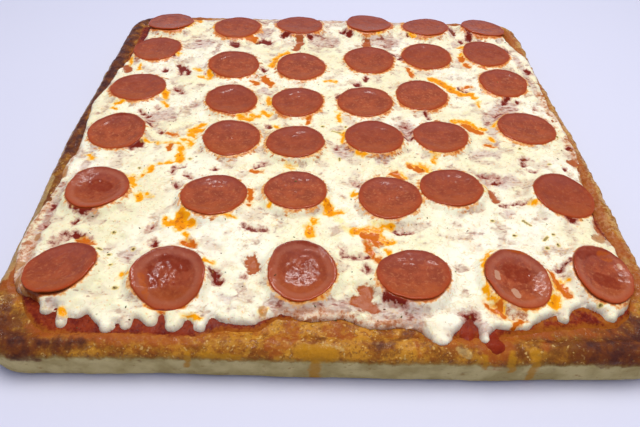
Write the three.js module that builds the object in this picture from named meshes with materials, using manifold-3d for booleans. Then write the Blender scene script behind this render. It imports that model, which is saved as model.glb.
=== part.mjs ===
// A square pan pizza in the Sicilian style, baked whole and uncut: a thick slab of dough with a
// pale side and a rounded shoulder, a thin layer of tomato sauce, a sheet of melted mozzarella
// with a ragged edge, and thirty-six slices of pepperoni laid out in six rows of six.
//
// Sizes are in millimetres. The origin is the middle of the flat underside, +Z is up, -Y is the
// front edge and +X is to the right of someone who stands at the front.

import * as THREE from "three";
import { mergeVertices } from "three/addons/utils/BufferGeometryUtils.js";
import Module from "manifold-3d";

const wasm = await Module();
wasm.setup();

// ---- Driving dimensions ----------------------------------------------------------------

const PAN_SIDE = 406; // a 16 inch square pan gives the slab its widest outline
const HALF = PAN_SIDE / 2;
const CORNER_RADII = [28, 31, 26, 32]; // front right, back right, back left, front left
const LEAST_RADIUS = 8; // corners of the rings well inside the slab

const FLOOR = 22.8; // top of the dough under the toppings
const CREST = 26; // top of the rim
const SAUCE_THICK = 1.3;
const CHEESE_THICK = 3.6;
const GAP = 0.3; // left between pieces that lie on each other

const SLICE_RADIUS = 22.2; // pepperoni 44 mm across
const SLICE_THICK = 1.9;
const SLICE_SINK = 0.7; // how deep a slice has settled into the cheese
const SLICE_SIDES = 12;

const SAUCE_LEVEL = FLOOR + GAP + SAUCE_THICK;
const CHEESE_LEVEL = SAUCE_LEVEL + CHEESE_THICK;
const DEEP = FLOOR - 4; // underside of the blanks that are trimmed against what they lie on
const CUT = 25; // height of the cutters that press the slices' seats

// ---- Solids ----------------------------------------------------------------------------

// A closed geometry as a manifold solid.
function solidOf(geometry) {
  const bare = geometry.clone();
  bare.deleteAttribute("normal");
  bare.deleteAttribute("uv");
  const merged = mergeVertices(bare, 1e-4);
  const mesh = new wasm.Mesh({
    numProp: 3,
    vertProperties: merged.attributes.position.array,
    triVerts: new Uint32Array(merged.index.array),
  });
  return new wasm.Manifold(mesh);
}

// A manifold solid as a geometry.
function geometryOf(solid) {
  const { numProp, vertProperties, triVerts } = solid.getMesh();
  const positions = new Float32Array((vertProperties.length / numProp) * 3);
  for (let i = 0; i < positions.length / 3; i++) {
    positions.set(vertProperties.subarray(i * numProp, i * numProp + 3), i * 3);
  }
  const geometry = new THREE.BufferGeometry();
  geometry.setAttribute("position", new THREE.BufferAttribute(positions, 3));
  geometry.setIndex(new THREE.BufferAttribute(triVerts, 1));
  geometry.computeVertexNormals();
  return geometry;
}

// ---- Rings round the slab --------------------------------------------------------------

// One station of a rounded square that lies `inset` inside the widest outline. The sides run
// counter-clockwise from the front edge, each followed by its corner, with steps.edges[side]
// stations along the edge and steps.corner round the corner. Gives the place and the direction
// that faces outwards.
function station(side, step, inset, steps) {
  const edge = steps.edges[side];
  const half = HALF - inset;
  const radius = Math.max(CORNER_RADII[side] - inset, LEAST_RADIUS);
  const lastRadius = Math.max(CORNER_RADII[(side + 3) % 4] - inset, LEAST_RADIUS);
  const along = step < edge;
  const angle = along ? -Math.PI / 2 : (((step - edge) / steps.corner - 1) * Math.PI) / 2;
  const straight = THREE.MathUtils.lerp(lastRadius - half, half - radius, step / edge);
  const x = along ? straight : half - radius + radius * Math.cos(angle);
  const y = along ? -half : radius - half + radius * Math.sin(angle);
  const turn = (side * Math.PI) / 2;
  const place = new THREE.Vector2(x, y).rotateAround(new THREE.Vector2(), turn);
  const out = new THREE.Vector2(Math.cos(angle + turn), Math.sin(angle + turn));
  return { place, out, inset };
}

// All stations of a ring as points. insetAt and heightAt get the station of the plain outline.
function ring(steps, insetAt, heightAt) {
  const points = [];
  for (let side = 0; side < 4; side++) {
    for (let step = 0; step < steps.edges[side] + steps.corner; step++) {
      const inset = insetAt(station(side, step, 0, steps));
      const at = station(side, step, inset, steps);
      points.push(new THREE.Vector3(at.place.x, at.place.y, heightAt(at)));
    }
  }
  return points;
}

// A closed solid through rings that lead from its underside to its top. Fans from the two
// middle points shut its ends.
function loft(rings, lowMiddle, highMiddle) {
  const count = rings[0].length;
  const points = [...rings.flat(), lowMiddle, highMiddle];
  const low = points.length - 2;
  const high = points.length - 1;
  const last = (rings.length - 1) * count;
  const faces = [];
  for (let k = 0; k < count; k++) {
    const next = (k + 1) % count;
    faces.push(low, next, k);
    for (let i = 0; i < last; i += count) {
      faces.push(i + k, i + next, i + count + next);
      faces.push(i + k, i + count + next, i + count + k);
    }
    faces.push(high, last + k, last + next);
  }
  const geometry = new THREE.BufferGeometry().setFromPoints(points);
  geometry.setIndex(faces);
  return geometry;
}

const middle = (z) => new THREE.Vector3(0, 0, z);

// ---- Dough -----------------------------------------------------------------------------

const DOUGH_STEPS = { edges: [10, 10, 10, 10], corner: 4 };

// The dough's section from its foot to the edge of the floor: inset from the widest outline
// and height. The side leans out a little, as the pan's does, and rolls over into the rim.
const DOUGH_SECTION = [
  [2.6, 0],
  [0.9, 1.4],
  [0.4, 8],
  [0, 18.5],
  [1.6, 22.6],
  [5, 25.2],
  [9.3, CREST],
  [12.6, 24.8],
  [15.5, FLOOR],
];
const SWELL = 1.1; // how far the side wanders in and out along the edge
const SWELL_LENGTH = 60;
const RIM_WIDTH = 15;
const RIM_FOOT = 12; // the rim's rise is spread over the side from here up

function doughSwell({ place }) {
  return SWELL * (Math.sin((place.x + 1.3 * place.y + 279) / SWELL_LENGTH) - 0.7);
}

// How much higher the rim stands on the right and along the back than elsewhere.
function rimLift({ place, out }) {
  const wave = 0.3 * Math.sin(place.x / 23 + place.y / 29);
  return 1.5 * Math.max(0, out.x) + 1.2 * Math.max(0, out.y) + wave;
}

function doughSolid() {
  const rings = DOUGH_SECTION.map(([inset, z]) => {
    const rim = inset < RIM_WIDTH ? THREE.MathUtils.smoothstep(z, RIM_FOOT, CREST) : 0;
    return ring(
      DOUGH_STEPS,
      (at) => inset - doughSwell(at),
      (at) => z + rim * rimLift(at),
    );
  });
  return solidOf(loft(rings, middle(0), middle(FLOOR)));
}

// ---- Sauce -----------------------------------------------------------------------------

const SAUCE_STEPS = { edges: [20, 12, 12, 12], corner: 3 };

// The rounded edge of the layer from below: inset from its outline and height.
const SAUCE_SECTION = [
  [0, DEEP],
  [0, SAUCE_LEVEL - 0.5],
  [1.2, SAUCE_LEVEL],
];

// The sauce stops short of the rim's crest, in a wandering line.
function sauceInset({ place, out }) {
  const wander = 1.6 * Math.sin(place.x / 14 + 2) + 1.2 * Math.sin(place.y / 19 + place.x / 31);
  return 13.2 + wander + 2 * Math.max(0, -out.y) + 6 * (2 * out.x * out.y) ** 2;
}

// `grow` makes the same layer larger all round, to leave room for it in the cheese.
function sauceBlank(grow) {
  const rings = SAUCE_SECTION.map(([inset, z]) =>
    ring(SAUCE_STEPS, (at) => sauceInset(at) + inset - grow, () => z + grow),
  );
  return solidOf(loft(rings, middle(DEEP + grow), middle(SAUCE_LEVEL + grow)));
}

// ---- Cheese ----------------------------------------------------------------------------

const CHEESE_STEPS = { edges: [42, 14, 12, 14], corner: 3 };
const RELIEF_CELLS = 13; // squares along each side of the cheese's upper surface

// The rounded edge of the sheet from below: inset from its outline and height. It leads up past
// the upper surface, which cuts it off.
const CHEESE_SECTION = [
  [0.5, DEEP],
  [0, CHEESE_LEVEL - 2],
  [1.3, CHEESE_LEVEL - 0.7],
  [6, CHEESE_LEVEL + 2],
];

// Where the cheese has run forward over the front of the sauce: x, reach and half width.
const DRIPS = [
  [-150, 10, 7],
  [-124, 12, 5],
  [-108, 8, 5],
  [-90, 11, 6],
  [-73, 11, 4],
  [-50, 6, 11],
  [-9, 3, 6],
  [34, 8, 16],
  [64, 18, 6],
  [89, 17, 5],
  [108, 11, 8],
  [136, 3, 4],
  [167, 5, 6],
];

// How far the cheese stops short of the outline: nearly at the edge along the back and the
// sides, well inside it at the corners and the front, where it has run forward in drips.
function cheeseInset({ place, out }) {
  const front = Math.max(0, -out.y) ** 2;
  const corner = (2 * out.x * out.y) ** 2;
  const wander = 1.1 * Math.sin(place.x / 11 + 1) + 1.4 * Math.sin(place.y / 12 + place.x / 40);
  const reach = DRIPS.map(([x, far, half]) => far * Math.exp(-(((place.x - x) / half) ** 2)));
  return 9 + 18 * front + 10 * corner + wander - front * Math.max(...reach);
}

// The sheet follows the broad unevenness of the dough and rises over the rim along the back.
function cheeseTop(x, y) {
  const broad = 0.5 * Math.sin(x / 41 + 0.6) * Math.cos(y / 35);
  const fine = 0.3 * Math.sin(x / 17 + y / 21) * Math.sin(y / 19 - x / 24);
  return CHEESE_LEVEL + broad + fine + 1.2 * THREE.MathUtils.smoothstep(y, 150, 190);
}

// A block whose top is the cheese's uneven upper surface.
function relief() {
  const block = new THREE.BoxGeometry(PAN_SIDE, PAN_SIDE, 1, RELIEF_CELLS, RELIEF_CELLS, 1);
  const places = block.attributes.position;
  for (let i = 0; i < places.count; i++) {
    const top = cheeseTop(places.getX(i), places.getY(i));
    places.setZ(i, places.getZ(i) > 0 ? top : DEEP - 1);
  }
  return solidOf(block);
}

// The sheet's ragged plan with a rounded edge, cut off by the relief.
function cheeseBlank() {
  const rings = CHEESE_SECTION.map(([inset, z]) =>
    ring(CHEESE_STEPS, (at) => cheeseInset(at) + inset, () => z),
  );
  const high = CHEESE_SECTION.at(-1)[1];
  return solidOf(loft(rings, middle(DEEP), middle(high))).intersect(relief());
}

// ---- Pepperoni -------------------------------------------------------------------------

const PROP = 0.4; // a leaning slice rests on its low side, this share of the lean higher

// Row by row from the back, and from left to right in each row. Each slice: x, y, radius as a
// share of SLICE_RADIUS, curl of the rim in mm, and how many degrees it leans forwards and
// to the right.
const SLICES = [
  [
    [-157, 178, 1.02, 0.5, -8, -1],
    [-89, 171, 1.02, 0.6, -1, 1],
    [-25, 178, 1.01, 0.5, -5, 0],
    [46, 183, 1.03, 0.6, -7, 1],
    [105, 179, 1.01, 0.6, -6, -2],
    [165, 180, 0.97, 0.5, -6, 4],
  ],
  [
    [-161, 125, 0.99, 0.6, -1, 0],
    [-84, 97, 1.0, 1.0, 3, 2],
    [-22, 97, 1.0, 0.8, 1, 0],
    [42, 112, 1.04, 0.8, 2, 1],
    [98, 121, 1.01, 0.7, 3, -2],
    [157, 127, 0.99, 0.6, 1, 1],
  ],
  [
    [-163, 57, 1.02, 0.7, -2, 1],
    [-80, 40, 0.97, 1.4, 0, 2],
    [-24, 38, 0.98, 1.0, -1, 0],
    [34, 40, 1.01, 1.2, 0, -2],
    [84, 52, 0.98, 0.8, 1, -2],
    [161, 74, 0.96, 0.6, 3, 2],
  ],
  [
    [-164, -8, 0.98, 2.2, 3, -2],
    [-74, -13, 1.0, 1.3, -1, 2],
    [-24, -18, 0.99, 1.5, -4, -1],
    [38, -10, 1.03, 0.8, -4, -2],
    [91, -8, 0.98, 1.2, -4, -1],
    [164, 7, 1.01, 0.7, -1, 1],
  ],
  [
    [-160, -75, 0.95, 2.6, -3, 2],
    [-79, -80, 0.98, 1.6, -5, 2],
    [-22, -73, 0.97, 1.4, -5, -1],
    [44, -79, 1.0, 1.6, -4, -1],
    [89, -68, 0.98, 1.3, -5, -2],
    [168, -75, 0.96, 1.0, 3, 5],
  ],
  [
    [-163, -146, 0.95, 1.4, -7, -5],
    [-96, -151, 0.96, 3.4, 4, 2],
    [-16, -147, 0.94, 3.4, 7, 1],
    [52, -148, 0.98, 1.4, -9, -2],
    [115, -150, 0.95, 3.2, 4, 4],
    [170, -146, 0.93, 3.0, 3, 5],
  ],
];

// A turned disc whose rim is neither round nor level: its outline and the curl that lifts its
// rim wander round it, each slice with its own `turn`. `profile` leads from the underside's
// middle to the top's middle and gives radius, curl and height above the underside.
function sliceGeometry(profile, turn) {
  const turned = profile.map(([radius, curl, height]) => new THREE.Vector2(radius, height + curl));
  const lathe = new THREE.LatheGeometry(turned, SLICE_SIDES);
  lathe.rotateX(Math.PI / 2);
  const places = lathe.attributes.position;
  for (let i = 0; i < places.count; i++) {
    const curl = profile[i % profile.length][1];
    const step = Math.floor(i / profile.length) % SLICE_SIDES;
    const angle = (step * 2 * Math.PI) / SLICE_SIDES;
    const swell = 1 + 0.025 * Math.sin(2 * angle + turn) + 0.015 * Math.sin(3 * angle - turn);
    const lift = 0.3 * curl * Math.sin(2 * angle - 2 * turn);
    places.setXYZ(i, places.getX(i) * swell, places.getY(i) * swell, places.getZ(i) + lift);
  }
  return lathe;
}

function sliceProfile(radius, curl) {
  return [
    [0, 0, 0],
    [0.62 * radius, 0.15 * curl, 0],
    [0.97 * radius, curl, 0],
    [radius, curl, SLICE_THICK],
    [0.66 * radius, 0.15 * curl, SLICE_THICK],
    [0, 0, SLICE_THICK],
  ];
}

// The room that a slice takes in the cheese: a flat floor under it, open to the top. A slice
// that has curled up touches it only in the middle.
function seatProfile(radius) {
  return [
    [0, 0, -GAP],
    [radius + GAP, 0, -GAP],
    [radius + GAP, 0, CUT],
    [0, 0, CUT],
  ];
}

// Every slice's name, mesh and seat.
function laySlices() {
  return SLICES.flatMap((row, r) =>
    row.map(([x, y, size, curl, forwards, right], c) => {
      const radius = SLICE_RADIUS * size;
      const turn = 1.7 * r + 2.3 * c;
      const lean = [forwards, right].map(THREE.MathUtils.degToRad);
      const prop = PROP * radius * Math.hypot(...lean);
      const mesh = new THREE.Mesh(
        geometryOf(solidOf(sliceGeometry(sliceProfile(radius, curl), turn))),
        pepperoniMaterial,
      );
      mesh.name = `pepperoni_row${r + 1}_slice${c + 1}`;
      mesh.rotation.set(...lean, 0);
      mesh.position.set(x, y, cheeseTop(x, y) - SLICE_SINK + prop);
      mesh.updateMatrix();
      const seat = sliceGeometry(seatProfile(radius), turn);
      seat.applyMatrix4(mesh.matrix);
      return { mesh, seat: solidOf(seat) };
    }),
  );
}

// ---- Materials and assembly ------------------------------------------------------------

const crustMaterial = new THREE.MeshStandardMaterial({
  color: 0xc9924e,
  roughness: 0.75,
  metalness: 0,
});
const sauceMaterial = new THREE.MeshStandardMaterial({
  color: 0x9c2f17,
  roughness: 0.35,
  metalness: 0,
});
const cheeseMaterial = new THREE.MeshStandardMaterial({
  color: 0xf3ead0,
  roughness: 0.4,
  metalness: 0,
});
const pepperoniMaterial = new THREE.MeshStandardMaterial({
  color: 0xa8503a,
  roughness: 0.35,
  metalness: 0,
});

function namedMesh(name, solid, material) {
  const mesh = new THREE.Mesh(geometryOf(solid), material);
  mesh.name = name;
  return mesh;
}

function pizza() {
  const group = new THREE.Group();
  const slices = laySlices();
  const seats = wasm.Manifold.union(slices.map(({ seat }) => seat));
  const dough = doughSolid().subtract(seats);
  const doughRoom = dough.translate([0, 0, GAP]);
  const sauce = sauceBlank(0).subtract(doughRoom).subtract(seats);
  const cheese = cheeseBlank().subtract(doughRoom).subtract(sauceBlank(GAP)).subtract(seats);
  group.add(namedMesh("crust", dough, crustMaterial));
  group.add(namedMesh("tomato_sauce", sauce, sauceMaterial));
  group.add(namedMesh("cheese", cheese, cheeseMaterial));
  group.add(...slices.map(({ mesh }) => mesh));
  const box = new THREE.Box3().setFromObject(group);
  const centre = box.getCenter(new THREE.Vector3());
  group.position.set(-centre.x, -centre.y, -box.min.z);
  return group;
}

export default pizza();
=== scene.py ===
# %% [markdown]
# # A square pan pizza in the Sicilian style
# The real thing is a slab of bread dough, baked in an oiled square pan. On it lie a thin layer
# of tomato sauce, a sheet of melted mozzarella with a ragged front edge, and thirty-six slices
# of pepperoni. The frame below holds every one of those pieces as a plain solid at its real
# size. This lesson gives each of them its fine shape and its finish, and never moves one.

# %% Load the frame
import math

import bpy
import numpy as np
from mathutils import Matrix, Vector


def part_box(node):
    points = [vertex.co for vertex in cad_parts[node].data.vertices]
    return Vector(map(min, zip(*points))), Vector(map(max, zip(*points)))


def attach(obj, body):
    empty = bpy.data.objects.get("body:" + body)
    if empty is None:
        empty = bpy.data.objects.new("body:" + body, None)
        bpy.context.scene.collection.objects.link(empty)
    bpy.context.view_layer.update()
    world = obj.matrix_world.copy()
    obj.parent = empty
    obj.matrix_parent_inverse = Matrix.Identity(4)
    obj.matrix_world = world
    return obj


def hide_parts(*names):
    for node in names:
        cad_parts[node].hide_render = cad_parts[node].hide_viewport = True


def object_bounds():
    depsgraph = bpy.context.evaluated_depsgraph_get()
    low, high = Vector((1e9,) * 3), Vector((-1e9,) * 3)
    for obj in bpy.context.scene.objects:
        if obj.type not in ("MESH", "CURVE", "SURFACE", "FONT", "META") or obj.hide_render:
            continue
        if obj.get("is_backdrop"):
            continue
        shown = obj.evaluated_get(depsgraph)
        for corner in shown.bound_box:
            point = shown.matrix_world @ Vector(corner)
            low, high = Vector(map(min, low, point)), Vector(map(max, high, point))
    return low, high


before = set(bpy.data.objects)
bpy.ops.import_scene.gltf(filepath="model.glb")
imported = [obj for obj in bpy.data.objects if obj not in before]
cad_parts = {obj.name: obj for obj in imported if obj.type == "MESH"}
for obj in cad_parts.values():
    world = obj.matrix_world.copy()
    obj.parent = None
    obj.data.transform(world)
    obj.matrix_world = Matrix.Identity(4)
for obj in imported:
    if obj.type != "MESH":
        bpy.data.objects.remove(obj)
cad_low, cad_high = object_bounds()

print(len(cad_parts), "solids, overall", [round(v, 4) for v in cad_high - cad_low])

# %% [markdown]
# ## Where things are
# A baker thinks of a pizza from its middle, in millimetres. So all shapes below are worked out
# in millimetres from the middle of the slab's underside, with x to the right, y to the back and
# z up, and one helper turns them into Blender's metres at the very end. The middle and the
# slab's half width come from the frame, so nothing has to be fitted by eye.

# %% The middle and the half width of the slab
MM = 0.001
SWELL = 1.1  # how far the slab's side wanders in and out
crust_low, crust_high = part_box("crust")
MIDDLE = np.array([(crust_low.x + crust_high.x) / 2, (crust_low.y + crust_high.y) / 2, 0.0])
HALF = (crust_high.x - crust_low.x) / MM / 2 - 0.3 * SWELL
RADII = [28, 31, 26, 32]  # of the corners: front right, back right, back left, front left


def from_frame(points):
    """Places in the frame, in metres, as millimetres from the slab's middle."""
    return (np.asarray(points, float) - MIDDLE) / MM


print("middle", MIDDLE.round(4), "half width", round(HALF, 2), "mm")

# %% [markdown]
# ## Random, but the same each time
# Food is uneven, and evenness is what gives a model away. Blender has noise textures for
# colours, but here the same unevenness also has to bend the mesh, so it is worked out with
# numpy. `hills` is gradient noise: every corner of a grid gets a random slope, and the slopes
# are blended in between. `rough` stacks hills of shrinking size. `pebbles` gives the distance
# to the nearest of many scattered dots, which is good for blisters. Each takes a seed, so a
# second run makes the very same pizza. What has a clear place on the slab is written down as
# brush strokes instead, and `painted` turns those into a mask.

# %% Noise
CELLS = 64  # the noise repeats after this many cells


def ease(t):
    """0 to 1 with a soft start and end, whatever lies outside is held."""
    t = np.clip(t, 0, 1)
    return t * t * (3 - 2 * t)


def between(value, low, high):
    """How far `value` has come from low to high, eased."""
    return ease((value - low) / (high - low))


def hills(x, y, size, seed):
    """Hills and hollows about `size` mm across, roughly from -1 to 1."""
    angle = np.random.default_rng(seed).uniform(0, 2 * math.pi, (CELLS, CELLS))
    u, v = x / size, y / size
    i, j = np.floor(u).astype(int), np.floor(v).astype(int)
    total = 0
    for di in (0, 1):
        for dj in (0, 1):
            a = angle[(i + di) % CELLS, (j + dj) % CELLS]
            du, dv = u - i - di, v - j - dj
            total = total + ease(1 - abs(du)) * ease(1 - abs(dv)) * (np.cos(a) * du + np.sin(a) * dv)
    return 1.7 * total


def rough(x, y, size, seed, layers=3):
    """Hills with smaller hills on them."""
    return sum(hills(x, y, size / 2**k, seed + k) / 2**k for k in range(layers)) / 1.4


def pebbles(x, y, size, seed):
    """Distance to the nearest dot, in cells, and that dot's own random number."""
    dots = np.random.default_rng(seed).uniform(0, 1, (CELLS, CELLS, 3))
    u, v = x / size, y / size
    i, j = np.floor(u).astype(int), np.floor(v).astype(int)
    nearest, own = np.full(np.shape(u), 9.0), np.zeros(np.shape(u))
    for di in (-1, 0, 1):
        for dj in (-1, 0, 1):
            dot = dots[(i + di) % CELLS, (j + dj) % CELLS]
            away = np.hypot(u - i - di - dot[..., 0], v - j - dj - dot[..., 1])
            closer = away < nearest
            nearest, own = np.where(closer, away, nearest), np.where(closer, dot[..., 2], own)
    return nearest, own


sample = rough(*np.meshgrid(np.arange(50.0), np.arange(50.0)), 9, seed=1)
print("rough runs from", sample.min().round(2), "to", sample.max().round(2))


# %% Strokes and lines
def inside_strokes(x, y, strokes):
    """How deep a place lies inside the nearest brush stroke, in mm, and negative outside.
    A stroke is x, y of its start, x, y of its end, and half its width."""
    deepest = np.full(np.shape(x), -99.0)
    for x0, y0, x1, y1, half in strokes:
        dx, dy = x1 - x0, y1 - y0
        t = np.clip(((x - x0) * dx + (y - y0) * dy) / max(dx * dx + dy * dy, 1e-6), 0, 1)
        deepest = np.maximum(deepest, half - np.hypot(x - x0 - t * dx, y - y0 - t * dy))
    return deepest


def painted(x, y, strokes, low, high, wobble=0, size=1, seed=0):
    """A mask: 0 where strokes are `low` mm deep, 1 where `high`, and noise makes them wobble."""
    inside = inside_strokes(x, y, strokes)
    if wobble:
        inside += wobble * rough(x, y, size, seed)
    return between(inside, low, high)


def behind_line(x, y, line):
    """Distance to a line that runs from left to right, in mm, negative in front of it."""
    nearest = np.full(np.shape(x), 99.0)
    for (x0, y0), (x1, y1) in zip(line, line[1:]):
        nearest = np.minimum(nearest, -inside_strokes(x, y, [(x0, y0, x1, y1, 0)]))
    return np.where(y > np.interp(x, *zip(*line)), nearest, -nearest)


middle_of_stroke = inside_strokes(0.0, 0.0, [(0, -5, 0, 5, 3)])
print("the middle of a stroke 6 mm wide lies", middle_of_stroke, "mm inside it")

# %% [markdown]
# ## Materials without pictures
# Every finish here is a board of nodes: noise and masks choose between a few colours. Writing
# such boards by hand is wordy, so `Board` keeps one board and has a short method for each kind
# of step. A mask is a number that the mesh carries at each of its points, such as how well
# baked the dough is there. The mesh says roughly where, and fine noise in the board makes the
# border crisp.

# %% A short way to write node boards
def colour(code):
    """A web colour as the linear colour that Blender's shaders use."""
    srgb = [int(code[k : k + 2], 16) / 255 for k in (1, 3, 5)]
    return tuple(v / 12.92 if v <= 0.04045 else ((v + 0.055) / 1.055) ** 2.4 for v in srgb) + (1,)


class Board:
    def __init__(self, name):
        self.material = bpy.data.materials.new(name)
        self.material.use_nodes = True
        self.tree = self.material.node_tree
        self.shader = self.tree.nodes["Principled BSDF"]
        self.place = self.node("ShaderNodeTexCoord").outputs["Object"]

    def node(self, kind, inputs=(), **settings):
        made = self.tree.nodes.new(kind)
        for key, value in settings.items():
            setattr(made, key, value)
        for key, value in dict(inputs).items():
            self.wire(value, made.inputs[key])
        return made

    def wire(self, value, socket):
        if isinstance(value, bpy.types.NodeSocket):
            self.tree.links.new(value, socket)
        else:
            socket.default_value = value

    def noise(self, size, detail=2.0, seed=0.0, roughness=0.5, wide=1.0):
        """Soft noise between 0 and 1 whose clouds are about `size` mm across, and wider sideways."""
        stretch = (1 / wide, wide**0.5, 1)
        moved = self.node("ShaderNodeVectorMath", {0: self.place, 1: stretch}, operation="MULTIPLY")
        moved = self.node("ShaderNodeVectorMath", {0: moved.outputs[0], 1: (seed, seed / 3, seed / 7)})
        inputs = {"Vector": moved.outputs[0], "Scale": 1 / (size * MM), "Detail": detail}
        inputs["Roughness"] = roughness
        return self.node("ShaderNodeTexNoise", inputs).outputs["Fac"]

    def mask(self, name):
        return self.node("ShaderNodeAttribute", attribute_name=name).outputs["Fac"]

    def math(self, operation, a, b=0):
        return self.node("ShaderNodeMath", {0: a, 1: b}, operation=operation).outputs[0]

    def sum(self, a, b):
        return self.math("ADD", a, b)

    def times(self, a, b):
        return self.math("MULTIPLY", a, b)

    def off(self, value, middle):
        """How far a value is off the middle, on either side."""
        return self.math("ABSOLUTE", self.math("SUBTRACT", value, middle))

    def shift(self, noise, amount):
        """Noise as a shift up and down around zero."""
        return self.times(self.math("SUBTRACT", noise, 0.5), amount)

    def ragged(self, mask, noise, amount):
        """A mask whose borders are moved by noise."""
        return self.sum(self.mask(mask), self.shift(noise, amount))

    def ramp(self, value, low, high, start=0.0, end=1.0):
        """Start where value is below low, end where it is above high, eased in between."""
        inputs = {"Value": value, "From Min": low, "From Max": high, "To Min": start, "To Max": end}
        made = self.node("ShaderNodeMapRange", inputs, interpolation_type="SMOOTHSTEP")
        return made.outputs["Result"]

    def mix(self, share, under, over):
        """`over` on top of `under`, as far as share says."""
        made = self.node("ShaderNodeMix", data_type="RGBA", clamp_factor=True)
        self.wire(share, made.inputs[0])
        for value, socket in ((under, made.inputs[6]), (over, made.inputs[7])):
            self.wire(colour(value) if isinstance(value, str) else value, socket)
        return made.outputs[2]

    def layers(self, base, *layers):
        """Lays colours over each other, the lowest first. Each is listed after the share that it
        covers, or after a value, where it begins and ends to show, and the most that it covers."""
        for *where, over in layers:
            share = where[0] if len(where) == 1 else self.ramp(*where[:3], 0, where[3])
            base = self.mix(share, base, over)
        return base

    def bump(self, height, depth):
        """Bends the light as if the surface rose by `depth` mm where height is 1."""
        made = self.node("ShaderNodeBump", {"Height": height, "Distance": depth * MM, "Strength": 1.0})
        self.wire(made.outputs["Normal"], self.shader.inputs["Normal"])

    def finish(self, base, roughness, **fixed):
        """Wires colour and roughness, and sets what is the same all over on the shader itself."""
        self.wire(base, self.shader.inputs["Base Color"])
        self.wire(roughness, self.shader.inputs["Roughness"])
        for key, value in fixed.items():
            self.shader.inputs[key.replace("_", " ")].default_value = value
        return self.material


print("a mid grey in linear light:", round(colour("#808080")[0], 3))

# %% [markdown]
# ## From numbers to a piece
# A mesh is a list of points and a list of faces. `make_piece` turns both into an object, in
# metres, shades it smoothly, stores its masks, hangs it under the body `root`, and hides the
# frame's solid that it stands for.

# %% Make an object from points and faces
def make_piece(name, points, faces, material, masks=None, nodes=()):
    mesh = bpy.data.meshes.new(name)
    mesh.from_pydata((np.asarray(points) * MM + MIDDLE).tolist(), [], faces)
    mesh.shade_smooth()
    for key, values in (masks or {}).items():
        layer = mesh.attributes.new(key, "FLOAT", "POINT")
        layer.data.foreach_set("value", np.asarray(values, np.float32).ravel())
    piece = bpy.data.objects.new(name, mesh)
    bpy.context.scene.collection.objects.link(piece)
    mesh.materials.append(material)
    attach(piece, "root")
    if nodes:
        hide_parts(*nodes)
    corners = np.array([len(f) for f in faces])
    print(f"{name}: {len(points)} points, {int((corners - 2).sum())} triangles")
    return piece


# %% [markdown]
# ## Camera, light and table
# The pizza is seen from above its front edge, with a wide lens. A large soft lamp hangs over the
# middle of the table, so the front side of the slab is left in soft shade, and a pale bluish
# world fills the shadows. Two narrow strips further back light nothing by themselves: they only
# show as thin highlights in wet cheese and cupped pepperoni. A disc of pale table is a stage,
# not a piece of the pizza.

# %% Camera
EYE = Vector((-11.6, -354, 288.4))  # mm from the slab's middle
LOOK_DOWN, LOOK_RIGHT, ROLL = (math.radians(a) for a in (45.06, 1.47, 1.9))
LENS, SENSOR = 30.375, 36

forward = Vector(
    (
        math.sin(LOOK_RIGHT) * math.cos(LOOK_DOWN),
        math.cos(LOOK_RIGHT) * math.cos(LOOK_DOWN),
        -math.sin(LOOK_DOWN),
    )
)
level = Vector((math.cos(LOOK_RIGHT), -math.sin(LOOK_RIGHT), 0))
right = math.cos(ROLL) * level + math.sin(ROLL) * level.cross(forward)
up = right.cross(forward)
turned = Matrix((right, up, -forward)).transposed().to_4x4()

camera = bpy.data.objects.new("camera", bpy.data.cameras.new("camera"))
camera.data.lens, camera.data.sensor_width = LENS, SENSOR
camera.data.clip_start, camera.data.clip_end = 0.01, 20
camera.matrix_world = Matrix.Translation(Vector(MIDDLE) + EYE * MM) @ turned
bpy.context.scene.collection.objects.link(camera)
bpy.context.scene.camera = camera
print("camera at", [round(v, 3) for v in camera.matrix_world.translation])


# %% Lights and world
def add_lamp(name, place, aim, wide, deep, power, tint):
    """A lamp of wide by deep metres that shines from place towards aim."""
    data = bpy.data.lights.new(name, "AREA")
    data.shape, data.size, data.size_y = "RECTANGLE", wide, deep
    data.energy, data.color = power, colour(tint)[:3]
    lamp = bpy.data.objects.new(name, data)
    lamp.location = place
    lamp.rotation_euler = (Vector(aim) - Vector(place)).to_track_quat("-Z", "Y").to_euler()
    bpy.context.scene.collection.objects.link(lamp)
    return lamp


ceiling = add_lamp("ceiling_light", (0.1, 0.08, 1.25), (0.02, -0.02, 0), 0.8, 0.8, 15.0, "#FFFAEE")
ceiling.visible_glossy = False  # wet places mirror the two strips only, so highlights stay small
front_glint = add_lamp("front_glint", (-0.1, 0.28, 1.28), (0, -0.1, 0), 0.25, 0.05, 2.0, "#FFFFFF")
back_glint = add_lamp("back_glint", (0.05, 0.55, 1.2), (0, 0.05, 0), 0.6, 0.03, 8.0, "#FFFFFF")
front_glint.visible_diffuse = back_glint.visible_diffuse = False
world = bpy.data.worlds.new("pale_room")
world.use_nodes = True
sky = world.node_tree.nodes["Background"].inputs
sky["Color"].default_value = colour("#E2E5FF")
sky["Strength"].default_value = 0.46
bpy.context.scene.world = world
bpy.context.scene.view_settings.view_transform = "Standard"
print("watts:", {lamp.name: lamp.data.energy for lamp in (ceiling, front_glint, back_glint)})

# %% Table
TABLE_RADIUS, TABLE_CORNERS = 3.0, 96
board = Board("pale_table")
tone = board.mix(board.noise(400, 2), "#D3D6EC", "#D7DAEE")
table_finish = board.finish(tone, 0.6, Specular_IOR_Level=0.2)
table = bpy.data.meshes.new("table")
turns = np.linspace(0, 2 * math.pi, TABLE_CORNERS + 1)[:-1]
rim = [(TABLE_RADIUS * math.cos(a), TABLE_RADIUS * math.sin(a), 0) for a in turns]
table.from_pydata(rim, [], [range(TABLE_CORNERS)])
table.materials.append(table_finish)
table = bpy.data.objects.new("table", table)
bpy.context.scene.collection.objects.link(table)
table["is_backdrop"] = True
print("table is", 2 * TABLE_RADIUS, "m across")

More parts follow.
